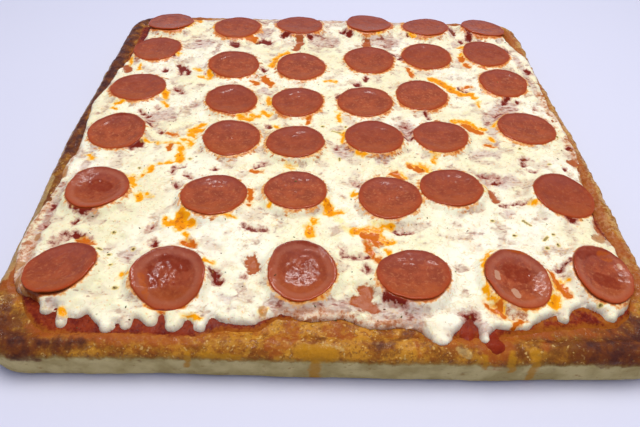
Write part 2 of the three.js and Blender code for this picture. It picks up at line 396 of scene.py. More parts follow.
# %% [markdown]
# ## The slab's outline and section
# Dough that rises in a pan takes the pan's shape: a square with round corners, a side that
# leans out a little, a shoulder that rolls over at the pan's edge, and a low rim that falls to
# the floor under the sauce. That is one section carried round one outline, so the mesh is a
# loft. The same two facts, how far a place lies inside the outline and how high the dough
# stands there, are needed again by the sauce and the cheese that lie on it.

# %% Outline, section and height of the dough
SECTION = [  # inset from the widest outline, and height, from the foot to the floor
    (2.6, 0), (0.9, 1.4), (0.4, 8), (0, 18.5), (1.6, 22.6), (5, 25.2), (9.3, 26), (12.6, 24.8),
    (15.5, 22.8),
]
FLOOR, CREST, CREST_INSET = 22.8, 26.0, 9.3


def from_edge(x, y):
    """How far inside the widest outline a place lies, and which way is out there."""
    radius = np.select([(x > 0) & (y <= 0), (x > 0) & (y > 0), (x <= 0) & (y > 0)], RADII[:3], RADII[3])
    qx, qy = abs(x) - HALF + radius, abs(y) - HALF + radius
    round_part = (qx > 0) & (qy > 0)
    length = np.maximum(np.hypot(qx, qy), 1e-6)
    inset = np.where(round_part, radius - length, radius - np.maximum(qx, qy))
    out_x = np.where(round_part, qx / length, qx >= qy) * np.sign(x)
    out_y = np.where(round_part, qy / length, qx < qy) * np.sign(y)
    return inset, out_x, out_y


def side_wander(x, y):
    """How far out the side stands, in mm: one long wave, and a belly on the left."""
    belly = 2.2 * np.exp(-(((y + 5) / 75) ** 2)) * (x < -150)
    return SWELL * (np.sin((x + 1.3 * y + 279) / 60) - 0.7) + belly


def rim_lift(x, y, out_x, out_y):
    """The rim stands higher on the right and along the back."""
    wave = 0.3 * np.sin(x / 23 + y / 29)
    return 1.5 * np.maximum(0, out_x) + 1.2 * np.maximum(0, out_y) + wave


def dough_height(x, y):
    """Height of the dough's upper surface, without its fine relief."""
    inset, out_x, out_y = from_edge(x, y)
    inset = inset + side_wander(x, y)
    insets, heights = zip(*SECTION[3:])
    z = np.interp(inset, insets, heights)
    return z + between(z, 12, CREST) * (inset < 15) * rim_lift(x, y, out_x, out_y)


def walk(front_step, side_step, corner_steps):
    """Stations round the outline, counter-clockwise from the front right corner."""
    centres = np.array([(1, -1), (1, 1), (-1, 1), (-1, -1)]) * (HALF - np.array(RADII))[:, None]
    places, outs = [], []
    for k, (centre, radius) in enumerate(zip(centres, RADII)):
        a = np.radians(np.linspace(90 * k - 90, 90 * k, corner_steps + 1))
        way, after = np.stack([np.cos(a), np.sin(a)], 1), (k + 1) % 4
        last, first = centre + radius * way[-1], centres[after] + RADII[after] * way[-1]
        count = int(np.hypot(*(first - last)) / (front_step if k == 3 else side_step))
        places += [centre + radius * way, np.linspace(last, first, count + 1)[1:-1]]
        outs += [way, np.repeat(way[-1:], count - 1, 0)]
    return np.concatenate(places), np.concatenate(outs)


place, out = walk(front_step=1.15, side_step=1.7, corner_steps=26)
print(len(place), "stations round the slab")

# %% [markdown]
# ## The crust
# On the real slab the side stays pale, because it stood against the pan, and the shoulder is
# browned and blistered. A subdivided box with a noise texture could hint at that, but the
# outline against the table would stay straight. So every point of the loft is pushed out along
# its own normal: broad waves, lumps, small blisters on the browned part, and a ragged foot. To
# keep the noise free of a seam, the side is unfolded flat around the top, and the noise is read
# there.

# %% Points of the crust
ROW_STEP, FINE_STEP = 1.1, 0.25  # mm along the section, as built and while its corners are rounded
ROUNDING = 6  # fine steps to either side that are averaged


def smooth_section():
    """The section as close rows with its corners rounded off, and its outward normals."""
    line = np.array(SECTION, float)
    reach = np.r_[0, np.cumsum(np.hypot(*np.diff(line, axis=0).T))]
    fine = np.arange(0, reach[-1], FINE_STEP)
    line = np.stack([np.interp(fine, reach, line[:, c]) for c in (0, 1)], 1)
    padded = np.pad(line, ((ROUNDING, ROUNDING), (0, 0)), mode="edge")
    window = 2 * ROUNDING + 1
    rounded = sum(padded[k : k + len(line)] for k in range(window)) / window
    rounded[:4] = line[:4]  # the foot keeps its corner
    step = int(ROW_STEP / FINE_STEP)
    rows = rounded[::step]
    along = np.gradient(rows, axis=0)
    along /= np.hypot(*along.T)[:, None]
    return rows, np.stack([along[:, 1], along[:, 0]], 1), fine[::step]


rows, row_normals, row_reach = smooth_section()
crest_row = int(np.argmax(rows[:, 1]))
unfold = row_reach[crest_row] - row_reach - CREST_INSET

(place_x, place_y), (out_x, out_y) = place.T, out.T
row_inset, row_height, normal_out, normal_up = (column[:, None] for column in [*rows.T, *row_normals.T])
inset = row_inset - side_wander(place_x, place_y)
base_x, base_y = place_x - out_x * inset, place_y - out_y * inset
base_z = row_height + between(row_height, 12, CREST) * rim_lift(base_x, base_y, out_x, out_y)
flat_x, flat_y = place_x + out_x * unfold[:, None], place_y + out_y * unfold[:, None]
print("crust rows", len(rows), "crest", base_z.max().round(1), "mm high")

# %% Relief of the crust
BULGES = [  # x, y, radius and height of single bumps on the rim
    (196, 157, 13, 2.0), (199, 138, 7, 0.8), (-198, 102, 10, 1.3), (-200, 84, 7, 0.9),
    (191, -118, 8, 0.7), (197, -62, 9, 0.8), (-196, -150, 8, 0.8), (128, -193, 5, 0.7),
    (116, -195, 6, 0.5), (-30, -195, 9, 0.5),
]
browned = between(base_z, 17.5, 22.5)
right_side = np.maximum(0, out_x)
relief = 0.45 * hills(flat_x, flat_y, 37, 3) + 0.3 * rough(flat_x, flat_y, 13, 5)
relief += (0.1 + 0.24 * browned * (1 + right_side)) * rough(flat_x, flat_y, 4.2, 11)
away, own = pebbles(flat_x + 2 * rough(flat_x, flat_y, 9, 17), flat_y, 7.5, 13)
blister = np.sqrt(np.clip(1 - (away / 0.42) ** 2, 0, 1)) * np.clip(own - 0.45, 0, 1)
relief += 1.1 * browned * (1 + 1.4 * right_side) * blister
away, own = pebbles(flat_x, flat_y, 3.1, 19)
relief += 0.28 * browned * np.clip(1 - (away / 0.5) ** 2, 0, 1) * np.clip(own - 0.4, 0, 1)
for x, y, radius, height in BULGES:
    relief += height * np.exp(-((flat_x - x) ** 2 + (flat_y - y) ** 2) / radius**2 * 2)
relief -= (1 - between(base_z, 0.3, 2.6)) * (0.45 + 0.5 * rough(flat_x, flat_y, 5, 23))  # the foot
relief *= between(inset, 17.5, 14)  # nothing stands up under the sauce
crust_x, crust_y = base_x + out_x * normal_out * relief, base_y + out_y * normal_out * relief
crust_z = np.maximum(0, base_z + normal_up * relief)
crust_z[0] = 0
print("relief from", relief.min().round(2), "to", relief.max().round(2), "mm")


# %% Close the crust over its floor and its underside
def lofted(row_count, count):
    """Quads between neighbouring rings of `count` points, and a fan of triangles at either end,
    round two more points: one under the first ring, then one over the last."""
    k = np.arange(count)
    following = (k + 1) % count
    faces = []
    for r in range(row_count - 1):
        a, b = r * count, (r + 1) * count
        faces += np.stack([a + k, a + following, b + following, b + k], 1).tolist()
    low, last = row_count * count, (row_count - 1) * count
    faces += np.stack([np.full(count, low), following, k], 1).tolist()
    faces += np.stack([np.full(count, low + 1), last + k, last + following], 1).tolist()
    return faces


def shrunk(x, y, z, share):
    """The ring x, y at height z, drawn in towards the middle."""
    return np.stack([x * share, y * share, np.full(len(x), float(z))], 1)


rings = [np.stack([crust_x[r], crust_y[r], crust_z[r]], 1) for r in range(len(rows))]
under = [shrunk(crust_x[0], crust_y[0], 0, share) for share in (0.3, 0.62, 0.85, 0.97)]
floor = [shrunk(crust_x[-1], crust_y[-1], FLOOR, share) for share in (0.98, 0.9, 0.7, 0.4)]
rings = under + rings + floor
count = len(place)
crust_points = np.concatenate(rings + [[[0, 0, 0]], [[0, 0, FLOOR]]])
crust_faces = lofted(len(rings), count)
print(len(crust_faces), "faces")

# %% [markdown]
# ## Where the sauce ends
# The sauce was spread short of the rim. Along the front it shows as a dark red band between
# the crust and the cheese, and its edge wanders. A line of a few places across the front says
# how far forward it came. The crust needs that line too, because the oven draws sauce and oil
# into the dough just outside it.

# %% Reach of the sauce
SAUCE_FRONT = [  # x, and the y where the sauce ends
    (-186, -156), (-180, -166), (-174, -176), (-166, -184), (-156, -187.5), (-145, -188.5),
    (-132, -189.5), (-118, -190), (-104, -190), (-92, -192), (-78, -191.5), (-70, -188), (-62, -184.5),
    (-50, -185), (-40, -184), (-30, -176), (-10, -177.5), (10, -175.5), (30, -180.5), (50, -182),
    (62, -190), (75, -188.5), (84, -188), (92, -189), (100, -186), (115, -183.5), (128, -181),
    (140, -180), (155, -180), (168, -179.5), (178, -172), (186, -156),
]
SAUCE_BLOTS = [(91, -188, 93, -193.5, 6.6), (79, -184, 79, -187, 4)]


def sauce_reach(x, y):
    """How far inside the sauce a place lies, in mm, and negative outside."""
    inset, out_x, out_y = from_edge(x, y)
    wander = 1.6 * np.sin(x / 14 + 2) + 1.2 * np.sin(y / 19 + x / 31)
    sides = inset - 13.2 - wander - 6 * (2 * out_x * out_y) ** 2
    front = y - np.interp(x, *zip(*SAUCE_FRONT))
    sides = np.where(y > -150, sides, np.maximum(sides, np.minimum(front, inset - 12)))
    reach = np.where(y < 0, np.minimum(front, sides), sides)
    reach = reach + 1.8 + 1.3 * rough(x, y, 11, 31)
    return np.maximum(reach, inside_strokes(x, y, SAUCE_BLOTS))


outside = -sauce_reach(np.array([0.0]), np.array([-180.0]))[0]
print("the place x = 0, y = -180 lies", outside.round(1), "mm outside the sauce")

# %% [markdown]
# ## The crust's finish
# Pale dough is a greyish cream. Where it baked it turns golden, then brown, and at the corners
# nearly black with a purple cast. Seven masks carry that: `bake`, `brown` and `char` for how far
# it went, `tan` for a paler patch on the right, `stain` for soaked-in sauce, `drip` for fat that
# ran down the side, and `pale` for a smear of cheese and, along the left crest, a painted
# highlight. Small light dots on the golden part are painted highlights too. Real browning isn't a
# smooth fade but a mottle of small spots, so noise of several sizes shifts the masks before they
# pick a colour.

# %% Masks of the crust
CHAR = [  # darkest stretches of the rim
    (-196, 178, -196, 60, 7.5), (-197, 60, -197, 0, 5.5), (-196, 0, -197, -34, 3.5),
    (-191, 66, -191, -30, 3.5), (-185, 126, -188, 118, 3), (-180, 90, -188, 97, 5),
    (-190, 72, -188, 64, 3), (-193, 186, -178, 198, 6), (-178, -190, -168, -200, 6),
    (-160, -196, -136, -196, 4), (-190, -176, -186, -186, 5), (-176, -204, -160, -207, 2),
    (150, -197, 190, -190, 8), (160, -189, 190, -184, 6), (146, -200, 166, -200, 4),
    (-198, -192, -190, -200, 6), (176, -184, 181, -176, 3), (27, -193, 34, -195, 2.2),
    (-5, -189, -3, -189, 0.9), (40, -188, 46, -187, 1.6), (74, -195, 74, -196, 1.2),
    (123, -192, 125, -188, 1.0),
]
# smears of cheese in front, and along the left crest a painted highlight
SMEARS_AND_CREST_HIGHLIGHT = [
    (72, -196, 77, -199, 2.4), (-4, -194, 8, -197, 1.0), (-202, 100, -202.5, -60, 3.4),
    (-200, -60, -199, -150, 5),
]
STAIN = [
    (93, -196, 93, -201, 3), (-22, -188, -30, -196, 7), (48, -188, 50, -199, 2),
    (36, -186, 44, -187, 2), (-66, -190, -96, -194, 3), (126, -186, 120, -194, 3),
    (0, -184, 12, -187, 4),
]
FAT_DRIPS = [
    (-7, -196, -8, -224, 3), (-14, -199, 0, -200, 5), (114, -197, 115, -224, 2.4),
    (101, -198, 102, -210, 2), (86, -200, 87, -208, 1.5), (-78, -203, -79, -212, 1.8),
    (-72, -202, -50, -203, 1.6), (178, -196, 178, -206, 2),
]

around_x, around_y, heights = np.concatenate(rings).T
flats = np.stack([flat_x.ravel(), flat_y.ravel()], 1)
flats = np.concatenate([*(r[:, :2] for r in under), flats, *(r[:, :2] for r in floor)])
fx, fy = flats.T  # noise is read here, so that the side has no seam
border = 21.3 + 0.9 * rough(fx, fy, 21, 41) + 0.5 * rough(fx, fy, 6, 43)  # height where it browns
bake = between(heights, border - 4.2, border + 1.4)
bake[: len(under) * count] = 0.8
char = painted(fx, fy, CHAR, -6, 4, 3.0, 9, 47)
stain = between(sauce_reach(around_x, around_y), -8.5, 0.5) * (heights > 15)
stain *= 0.35 + 0.65 * between(abs(around_x + 3), 45, 80) + 0.4 * rough(fx, fy, 14, 73)
stain = np.maximum(stain, 0.75 * painted(fx, fy, STAIN, -1.5, 2, 1.2, 6, 53))
stain *= 1 - 0.7 * between(fx, -172, -188) * between(fy, -140, -90)
pale = painted(fx, fy, SMEARS_AND_CREST_HIGHLIGHT, -0.6, 0.8, 1.0, 5, 59)
drip = painted(fx, fy, FAT_DRIPS, -2.2, 1.8, 1.4, 5, 67)
ends = between(abs(fx + 20), 75, 175) * between(fy, -150, -185)
sides = 0.8 * between(fx, -170, -195) + 0.35 * between(fx, 170, 195)
brown = np.clip(np.maximum(ends, sides) + 0.3 * rough(fx, fy, 25, 71), 0, 1)
tan = between(fx, 178, 196) * between(fy, -180, -135) * 0.9
crust_masks = dict(bake=bake, tan=tan, char=char, stain=stain, pale=pale, drip=drip, brown=brown)
crust_masks = {key: np.r_[values, 0.5, 0.5] for key, values in crust_masks.items()}
print({key: round(float(values.mean()), 2) for key, values in crust_masks.items()})


# %% Finish of the crust
def crust_finish():
    board = Board("baked_crust")
    broad, spots = board.noise(14, 3, 1.0), board.noise(4.5, 4, 2.0, 0.6)
    grain, fine = board.noise(1.3, 3, 3.0, 0.6), board.noise(2.4, 4, 3.5, 0.6)
    blotch, wet = board.noise(7, 4, 3.7, 0.62), board.noise(5.5, 3, 3.9, 0.6)
    mottle = board.sum(board.times(broad, 0.5), board.times(spots, 0.5))
    baked, burnt = board.ragged("bake", spots, 1.2), board.ragged("char", blotch, 2.4)
    # painted highlights: small light specks on the browned part, where a wet crust would glint
    dots = board.times(board.ramp(board.noise(2.6, 1, 3.95), 0.64, 0.72), board.ramp(baked, 0.35, 0.75))
    fringe = board.times(board.ramp(baked, 0.10, 0.45), board.ramp(baked, 1.05, 0.55))
    dough = board.layers(
        "#C6B47C",
        (broad, 0.35, 0.65, 1, "#A8945C"),
        (spots, 0.58, 0.72, 0.45, "#9A7A3C"),
    )
    golden = board.layers(
        "#BE8226",
        (mottle, 0.42, 0.60, 1, "#8A4E16"),
        (fine, 0.51, 0.66, 0.75, "#6A360C"),
        (grain, 0.56, 0.70, 0.55, "#DCAA4C"),
        (board.ragged("brown", blotch, 2.0), 0.1, 1.0, 0.9, "#66340F"),
        (board.ragged("tan", fine, 4.5), 0.55, 1.05, 0.8, "#CCA268"),
        (board.ragged("tan", spots, 4.5), 0.95, 1.45, 0.6, "#7C4A20"),
    )
    base = board.layers(
        dough,
        (baked, 0.22, 0.80, 1, golden),
        # painted highlights on the browned part
        (board.times(dots, 0.55), "#E4C078"),
        (board.times(fringe, 0.5), "#82601E"),
        (board.ragged("stain", spots, 1.2), 0.1, 1.1, 0.8, "#9E4E18"),
        (burnt, 0.20, 0.85, 0.75, "#663014"),
        (burnt, 0.65, 1.30, 0.8, "#3A1A18"),
        (board.ragged("drip", fine, 1.0), 0.2, 0.9, 0.8, "#B47C16"),
        # smears of cheese, and a painted highlight along the left crest
        (board.ragged("pale", fine, 1.6), 0.3, 1.1, 0.5, "#C8AC70"),
    )
    board.bump(board.sum(board.times(spots, 0.7), board.times(fine, 0.5)), 1.0)
    shine = board.ramp(board.ragged("bake", wet, 3.0), 0.5, 1.4, 0.75, 0.16)
    return board.finish(base, shine, Specular_IOR_Level=0.18)


crust = make_piece(
    "baked_crust", crust_points, crust_faces, crust_finish(), crust_masks, ["crust"]
)

# %% [markdown]
# ## A sheet with a ragged edge
# Sauce and cheese are both sheets that lie on the dough, thick in the middle, rounded at an
# edge that no square grid follows. The way round that is to lay a fine grid over everything,
# keep the cells that touch the sheet, and slide the grid's outermost points onto the edge
# itself. A skirt then closes the sheet down to what it lies on, and one many-sided face closes
# it underneath, where nobody looks.

# %% Points and cells of a sheet
SLIDE_FROM, SLIDE_TO, FARTHEST = -1.6, 0.35, 1.1  # mm: which points slide to the edge, and how far
KEPT_FROM = -1.05  # mm outside the edge, the last points that a cell may have


def cells_joined(start, allowed):
    """The cells that can be reached from start through allowed cells."""
    seen = np.zeros_like(allowed)
    seen[start] = True
    queue = [start]
    while queue:
        i, j = queue.pop()
        for a, b in ((i + 1, j), (i - 1, j), (i, j + 1), (i, j - 1)):
            inside = 0 <= a < allowed.shape[0] and 0 <= b < allowed.shape[1]
            if inside and allowed[a, b] and not seen[a, b]:
                seen[a, b] = True
                queue.append((a, b))
    return seen


def sheet_points(xs, ys, reach):
    """Grid points and quads of a sheet, with the outermost points slid onto reach = 0."""
    x, y = np.meshgrid(xs, ys)
    deep = reach(x, y)
    slope_y, slope_x = np.gradient(deep, ys, xs)
    steep = np.maximum(slope_x**2 + slope_y**2, 0.15)
    near = (deep < SLIDE_TO) & (deep > SLIDE_FROM)
    slide = np.where(near, -deep / steep, 0).clip(-FARTHEST, FARTHEST)
    x, y = x + slope_x * slide, y + slope_y * slide
    held = deep > KEPT_FROM
    cells = held[:-1, :-1] & held[1:, :-1] & held[:-1, 1:] & held[1:, 1:]
    cells[:, [0, -1]] = False
    cells[[0, -1], :] = False
    cells = cells_joined((cells.shape[0] // 2, cells.shape[1] // 2), cells)  # no loose islands
    cells = ~cells_joined((0, 0), ~cells)  # and no holes
    for _ in range(3):  # two cells may not touch at a corner alone
        a, b, c, d = cells[:-1, :-1], cells[1:, 1:], cells[:-1, 1:], cells[1:, :-1]
        cells[:-1, :-1] |= c & d & ~a & ~b
        cells[:-1, 1:] |= a & b & ~c & ~d
    rows_of, columns_of = np.nonzero(cells)
    wide = len(xs)
    first = rows_of * wide + columns_of
    quads = np.stack([first, first + 1, first + wide + 1, first + wide], 1)
    used, quads = np.unique(quads, return_inverse=True)
    return x.ravel()[used], y.ravel()[used], quads.reshape(-1, 4)


steps = np.arange(-20.0, 21)
trial_x, _, trial_cells = sheet_points(steps, steps, lambda x, y: 15 - np.hypot(x, y))
print("a round sheet with a radius of 15 mm:", len(trial_cells), "cells, up to x =", trial_x.max().round(2))


# %% Close a sheet
def border_loop(quads):
    """The points round the outside of a set of quads, in order."""
    edges = np.concatenate([quads[:, [k, (k + 1) % 4]] for k in range(4)])
    pairs = set(map(tuple, edges.tolist()))
    following = {a: b for a, b in pairs if (b, a) not in pairs}
    loop = [next(iter(following))]
    while following[loop[-1]] != loop[0]:
        loop.append(following[loop[-1]])
    assert len(loop) == len(following), "the sheet has a hole"
    return np.array(loop)


def close_sheet(x, y, z, quads, foot, masks):
    """Adds a skirt down to the height `foot` and one flat face underneath. The points of the
    skirt get the masks of the points above them."""
    loop = border_loop(quads)
    skirt = np.stack([x[loop], y[loop], np.full(len(loop), foot)], 1)
    points = np.concatenate([np.stack([x, y, z], 1), skirt])
    base = len(x) + np.arange(len(loop))
    after, base_after = np.roll(loop, -1), np.roll(base, -1)
    skirt = np.stack([loop, base, base_after, after], 1)
    masks = {key: np.r_[values, values[loop]] for key, values in masks.items()}
    return points, quads.tolist() + skirt.tolist() + [base[::-1].tolist()], masks


def bulge(deep, width):
    """A rounded edge: 0 at the edge, 1 from `width` mm inwards."""
    t = np.clip(deep / width, 0, 1)
    return np.sqrt(1 - (1 - t) ** 2)


print("in the middle of its rounded edge a sheet has", bulge(0.5, 1).round(2), "of its thickness")


# %% [markdown]
# ## The tomato sauce
# Only a band along the front and thin lines at the sides show. It is wet, so it needs a clear
# highlight, and it holds fine pulp, so that highlight must break up. Oil floats on it in places.
# The sheet is about 1.6 mm thick and sits on the floor of the dough. Where it thins out at its
# edge it lets the crust shine through, except in the two blots that ran out on the rim.

# %% Tomato sauce
SAUCE_LEVEL = 24.4


def sauce_top(x, y):
    lumps = 0.28 * rough(x, y, 6, 61) + 0.12 * rough(x, y, 2.2, 67)
    level = SAUCE_LEVEL + lumps * between(y, -150, -160)
    blot = painted(x, y, SAUCE_BLOTS, -1, 3)
    return np.maximum(level, dough_height(x, y) + 0.35 + 1.3 * blot + 0.6 * lumps)


def sauce_shape():
    xs = np.arange(-195, 195.1, 1.3)
    ys = np.concatenate([np.arange(-203.4, -150, 1.1), np.arange(-150, 150, 5), np.arange(150, 194, 2)])
    x, y, quads = sheet_points(xs, ys, sauce_reach)
    base = np.maximum(dough_height(x, y), FLOOR)
    deep = sauce_reach(x, y)
    rise = 1 - (1 - np.clip(deep / 6, 0, 1)) ** 2
    z = base - 0.9 + (sauce_top(x, y) - base + 0.9) * rise
    thin = 1 - between(deep, 0.0, 7)
    thin = np.maximum(thin, 0.75 * between(x, 95, 125) * between(rough(x, y, 9, 177), -0.3, 0.5))
    blot = painted(x, y, SAUCE_BLOTS, -1, 2)
    thin *= 1 - blot
    return close_sheet(x, y, z, quads, FLOOR - 0.3, {"thin": thin, "blot": blot})


def sauce_finish():
    board = Board("tomato_sauce")
    broad, pulp = board.noise(9, 3, 4.0), board.noise(2.2, 4, 5.0, 0.65)
    base = board.layers(
        "#64160A",
        (broad, 0.35, 0.65, 1, "#842E10"),
        (pulp, 0.54, 0.70, 0.55, "#A84A18"),
        (board.ramp(pulp, 0.30, 0.44, 0.7, 0), "#4A0F0A"),
        (board.ragged("thin", pulp, 1.6), 0.15, 0.95, 1, "#9C5616"),
        (board.times(board.mask("blot"), 0.5), "#86240F"),
    )
    board.bump(board.sum(board.times(pulp, 0.7), board.times(broad, 0.6)), 0.6)
    return board.finish(base, board.ramp(pulp, 0.35, 0.7, 0.22, 0.5), Specular_IOR_Level=0.12)


points, faces, masks = sauce_shape()
sauce = make_piece("sauce_layer", points, faces, sauce_finish(), masks, ["tomato_sauce"])

# %% [markdown]
# ## What the frame knows about each slice
# Every pepperoni slice is a solid of its own, and each lies a little differently: tilted, and
# curled up at its edge by some amount. The fine slices below must lie just as those solids do,
# and the cheese must stay below them. So each solid is measured: its flattest direction is its
# axis, its lowest point on the axis is its middle, and its outermost points give the radius and
# how far the edge has curled up.

# %% Measure the slices
SLICE_THICK = 1.9


def measure_slice(name):
    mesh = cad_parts[name].data
    points = from_frame([v.co for v in mesh.vertices])
    centre = (points.min(0) + points.max(0)) / 2
    axis = np.linalg.svd(points - points.mean(0))[2][2]
    axis *= np.sign(axis[2])
    across = np.array([1, 0, 0]) - axis * axis[0]
    across /= np.linalg.norm(across)
    away = np.cross(axis, across)
    for _ in range(3):  # the middle of the outline, then the lowest point there
        local = (points - centre) @ np.stack([across, away, axis], 1)
        centre = centre + across * (local[:, 0].min() + local[:, 0].max()) / 2
        centre = centre + away * (local[:, 1].min() + local[:, 1].max()) / 2
    local = (points - centre) @ np.stack([across, away, axis], 1)
    radial = np.hypot(local[:, 0], local[:, 1])
    bottom = local[radial < 2, 2].min()
    centre = centre + axis * bottom
    outer = radial > 0.97 * radial.max()
    curl = local[outer, 2].max() - bottom - SLICE_THICK
    row, column = int(name[len("pepperoni_row")]), int(name[-1])
    return {
        "name": name,
        "centre": centre,
        "frame": np.stack([across, away, axis]),
        "radius": np.median(radial[outer]) / 1.012,
        "curl": max(0.2, curl / 1.25),
        "turn": 1.7 * row + 2.3 * column,
        "row": row,
        "column": column,
    }


slices = [measure_slice(name) for name in sorted(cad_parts) if name.startswith("pepperoni")]
SQUEEZED = {(6, 6): (0.95, 0.80), (6, 5): (0.93, 0.92)}  # narrower on the left and on the right
DROOPS = {(6, 2): (7.0, -85), (6, 5): (0.8, -90), (6, 3): (0.7, 90)}  # edges that hang: mm, and where


def slice_outline(s, angle):
    swell = 0.025 * np.sin(2 * angle + s["turn"]) + 0.015 * np.sin(3 * angle - s["turn"])
    swell = swell + 0.010 * np.sin(5 * angle + 2 * s["turn"]) + 0.007 * np.sin(9 * angle - 3 * s["turn"])
    left, right = SQUEEZED.get((s["row"], s["column"]), (1, 1))
    narrow = 1 + np.cos(angle) ** 2 * (np.where(np.cos(angle) < 0, left, right) - 1)
    return s["radius"] * (1 + swell) * narrow


def cup(s, share, angle):
    """How far the slice has curled up at a share of its radius."""
    wall = 0.15 * np.minimum(share, 1) ** 2 + 0.85 * ease((share - 0.46) / 0.56)
    wave = 0.3 * np.sin(2 * angle - 2 * s["turn"]) * np.clip(share, 0, 1) ** 3
    droop, facing = DROOPS.get((s["row"], s["column"]), (0, 0))
    hanging = between(share * np.cos(angle - math.radians(facing)), 0.3, 1.05)
    return s["curl"] * (wall + wave) - droop * hanging


for s in slices[::7]:
    print(s["name"], s["centre"].round(1), "radius", round(s["radius"], 1), "curl", round(s["curl"], 1))

# %% [markdown]
# ## How the cheese spread
# Grated mozzarella melts into one sheet, and its edge runs where the shreds lay. At the back it
# climbs the rim, at the sides it stops just short of the crest, and in front it ends early, in
# drips that ran out over the sauce. A few lines describe the straight parts, strokes describe
# the drips, and both are blended so that a drip grows out of the sheet without a kink.

# %% Reach of the cheese
CHEESE_LEFT = [  # y, and x of the left edge there
    (-175, -166), (-167, -172), (-163, -180), (-159, -186), (-152, -190), (-139, -193), (-129, -196),
    (-119, -198), (-105, -197), (-93, -195), (-84, -193), (-73, -192), (-65, -191), (-55, -193),
    (-43, -193), (-31, -191), (-19, -191), (4, -193), (25, -196), (34, -197), (48, -194), (72, -190),
    (87, -190), (106, -186), (140, -181), (168, -177), (186, -172),
]
CHEESE_RIGHT = [  # y, and x of the right edge there
    (-172, 178), (-160, 184), (-120, 188), (-91, 185), (-54, 190), (-18, 196), (25, 195), (37, 193),
    (68, 194), (94, 197), (122, 196), (141, 190), (168, 183), (186, 176),
]
CHEESE_BACK = 194.5
CHEESE_FRONT = [  # x and y along the ragged front edge
    (-200, -150), (-192, -155), (-186, -160.5), (-181, -164), (-177, -163.5), (-171, -167),
    (-166, -171), (-158, -171), (-154, -172), (-150, -177), (-144, -178), (-139, -175), (-134, -180),
    (-129, -184), (-125, -185), (-122.3, -181.5), (-118, -181), (-115, -182), (-111.5, -177.5),
    (-106, -179), (-101, -181), (-98, -177), (-96, -175), (-93, -179), (-88, -183), (-84, -182),
    (-81, -178.5), (-77, -181), (-73, -183), (-70, -181), (-67, -177), (-62, -180), (-50, -182),
    (-42, -181), (-36, -178), (-28, -174), (-20, -176), (-10, -178.5), (0, -177), (8, -176),
    (16, -179.5), (24, -182.5), (32, -182.5), (42, -181.5), (50, -182.5), (56, -187), (63, -191),
    (69, -189), (75, -183), (80, -177.5), (83, -176), (85, -181), (88, -191.5), (91, -187),
    (96, -182.5), (106, -183.5), (114, -182), (121, -178), (128, -175), (133, -172.5), (137, -175),
    (141, -173), (146, -168.5), (152, -166.5), (157, -169), (161, -171.5), (165, -174), (169, -174),
    (175, -171), (180, -165), (186, -157), (196, -140),
]
DRIPS = [  # strokes
    (-163, -168, -163, -172, 4.3), (-154, -173, -151.6, -181.5, 3.4), (-145, -172, -144.5, -174, 4.6),
    (-128, -178, -125.3, -183.5, 4.4), (-116, -177, -115.3, -182, 3.7),
    (-106, -175, -101.5, -179.5, 4.1), (-88.5, -178, -88.5, -181.5, 5.2), (-74, -178, -73.4, -183, 3.8),
    (61, -184, 63, -188, 6.4), (88, -184, 88, -190, 2.4), (112, -176, 114, -178.5, 4),
    (139, -171, 137.4, -174.6, 3.7), (166, -170, 165.5, -173, 4.2),
]


def blend_max(a, b, soft):
    """The larger of two, without a kink where they cross."""
    share = np.maximum(soft - abs(a - b), 0) / soft
    return np.maximum(a, b) + share * share * soft / 4


def cheese_reach(x, y):
    """How far inside the cheese a place lies, in mm, and negative outside."""
    left_y, left_x = zip(*CHEESE_LEFT)
    right_y, right_x = zip(*CHEESE_RIGHT)
    wander = 1.5 * rough(x, y, 16, 71)
    sides = np.minimum(x - np.interp(y, left_y, left_x), np.interp(y, right_y, right_x) - x)
    back = CHEESE_BACK - y - 0.012 * (abs(x) / 20) ** 3 * 1.4 + wander
    near = y < -125
    front = np.full(np.shape(x), 60.0)
    front[near] = behind_line(x[near] + 0.5 * rough(x[near], y[near], 5, 73), y[near], CHEESE_FRONT)
    front = front + 0.5 * rough(x, y, 4, 79)
    reach = np.minimum(np.minimum(sides + 0.7 * wander, back), front)
    return blend_max(reach, inside_strokes(x, y, DRIPS) + 0.4 * rough(x, y, 4, 79), 2.0)


outside = -cheese_reach(np.array([63.0]), np.array([-200.0]))[0]
print("the place x = 63, y = -200 lies", outside.round(1), "mm outside the cheese")

# %% [markdown]
# ## Oil, gaps and thin places
# Melted pepperoni fat runs out in bright orange puddles that settle in the hollows of the
# cheese. Where the shreds left a gap, dark sauce looks through, and around such gaps the cheese
# is a thin, pinkish veil. All of these have a clear place on the slab, so they are written down
# as short strokes: x and y of the start, x and y of the end, and half the width.

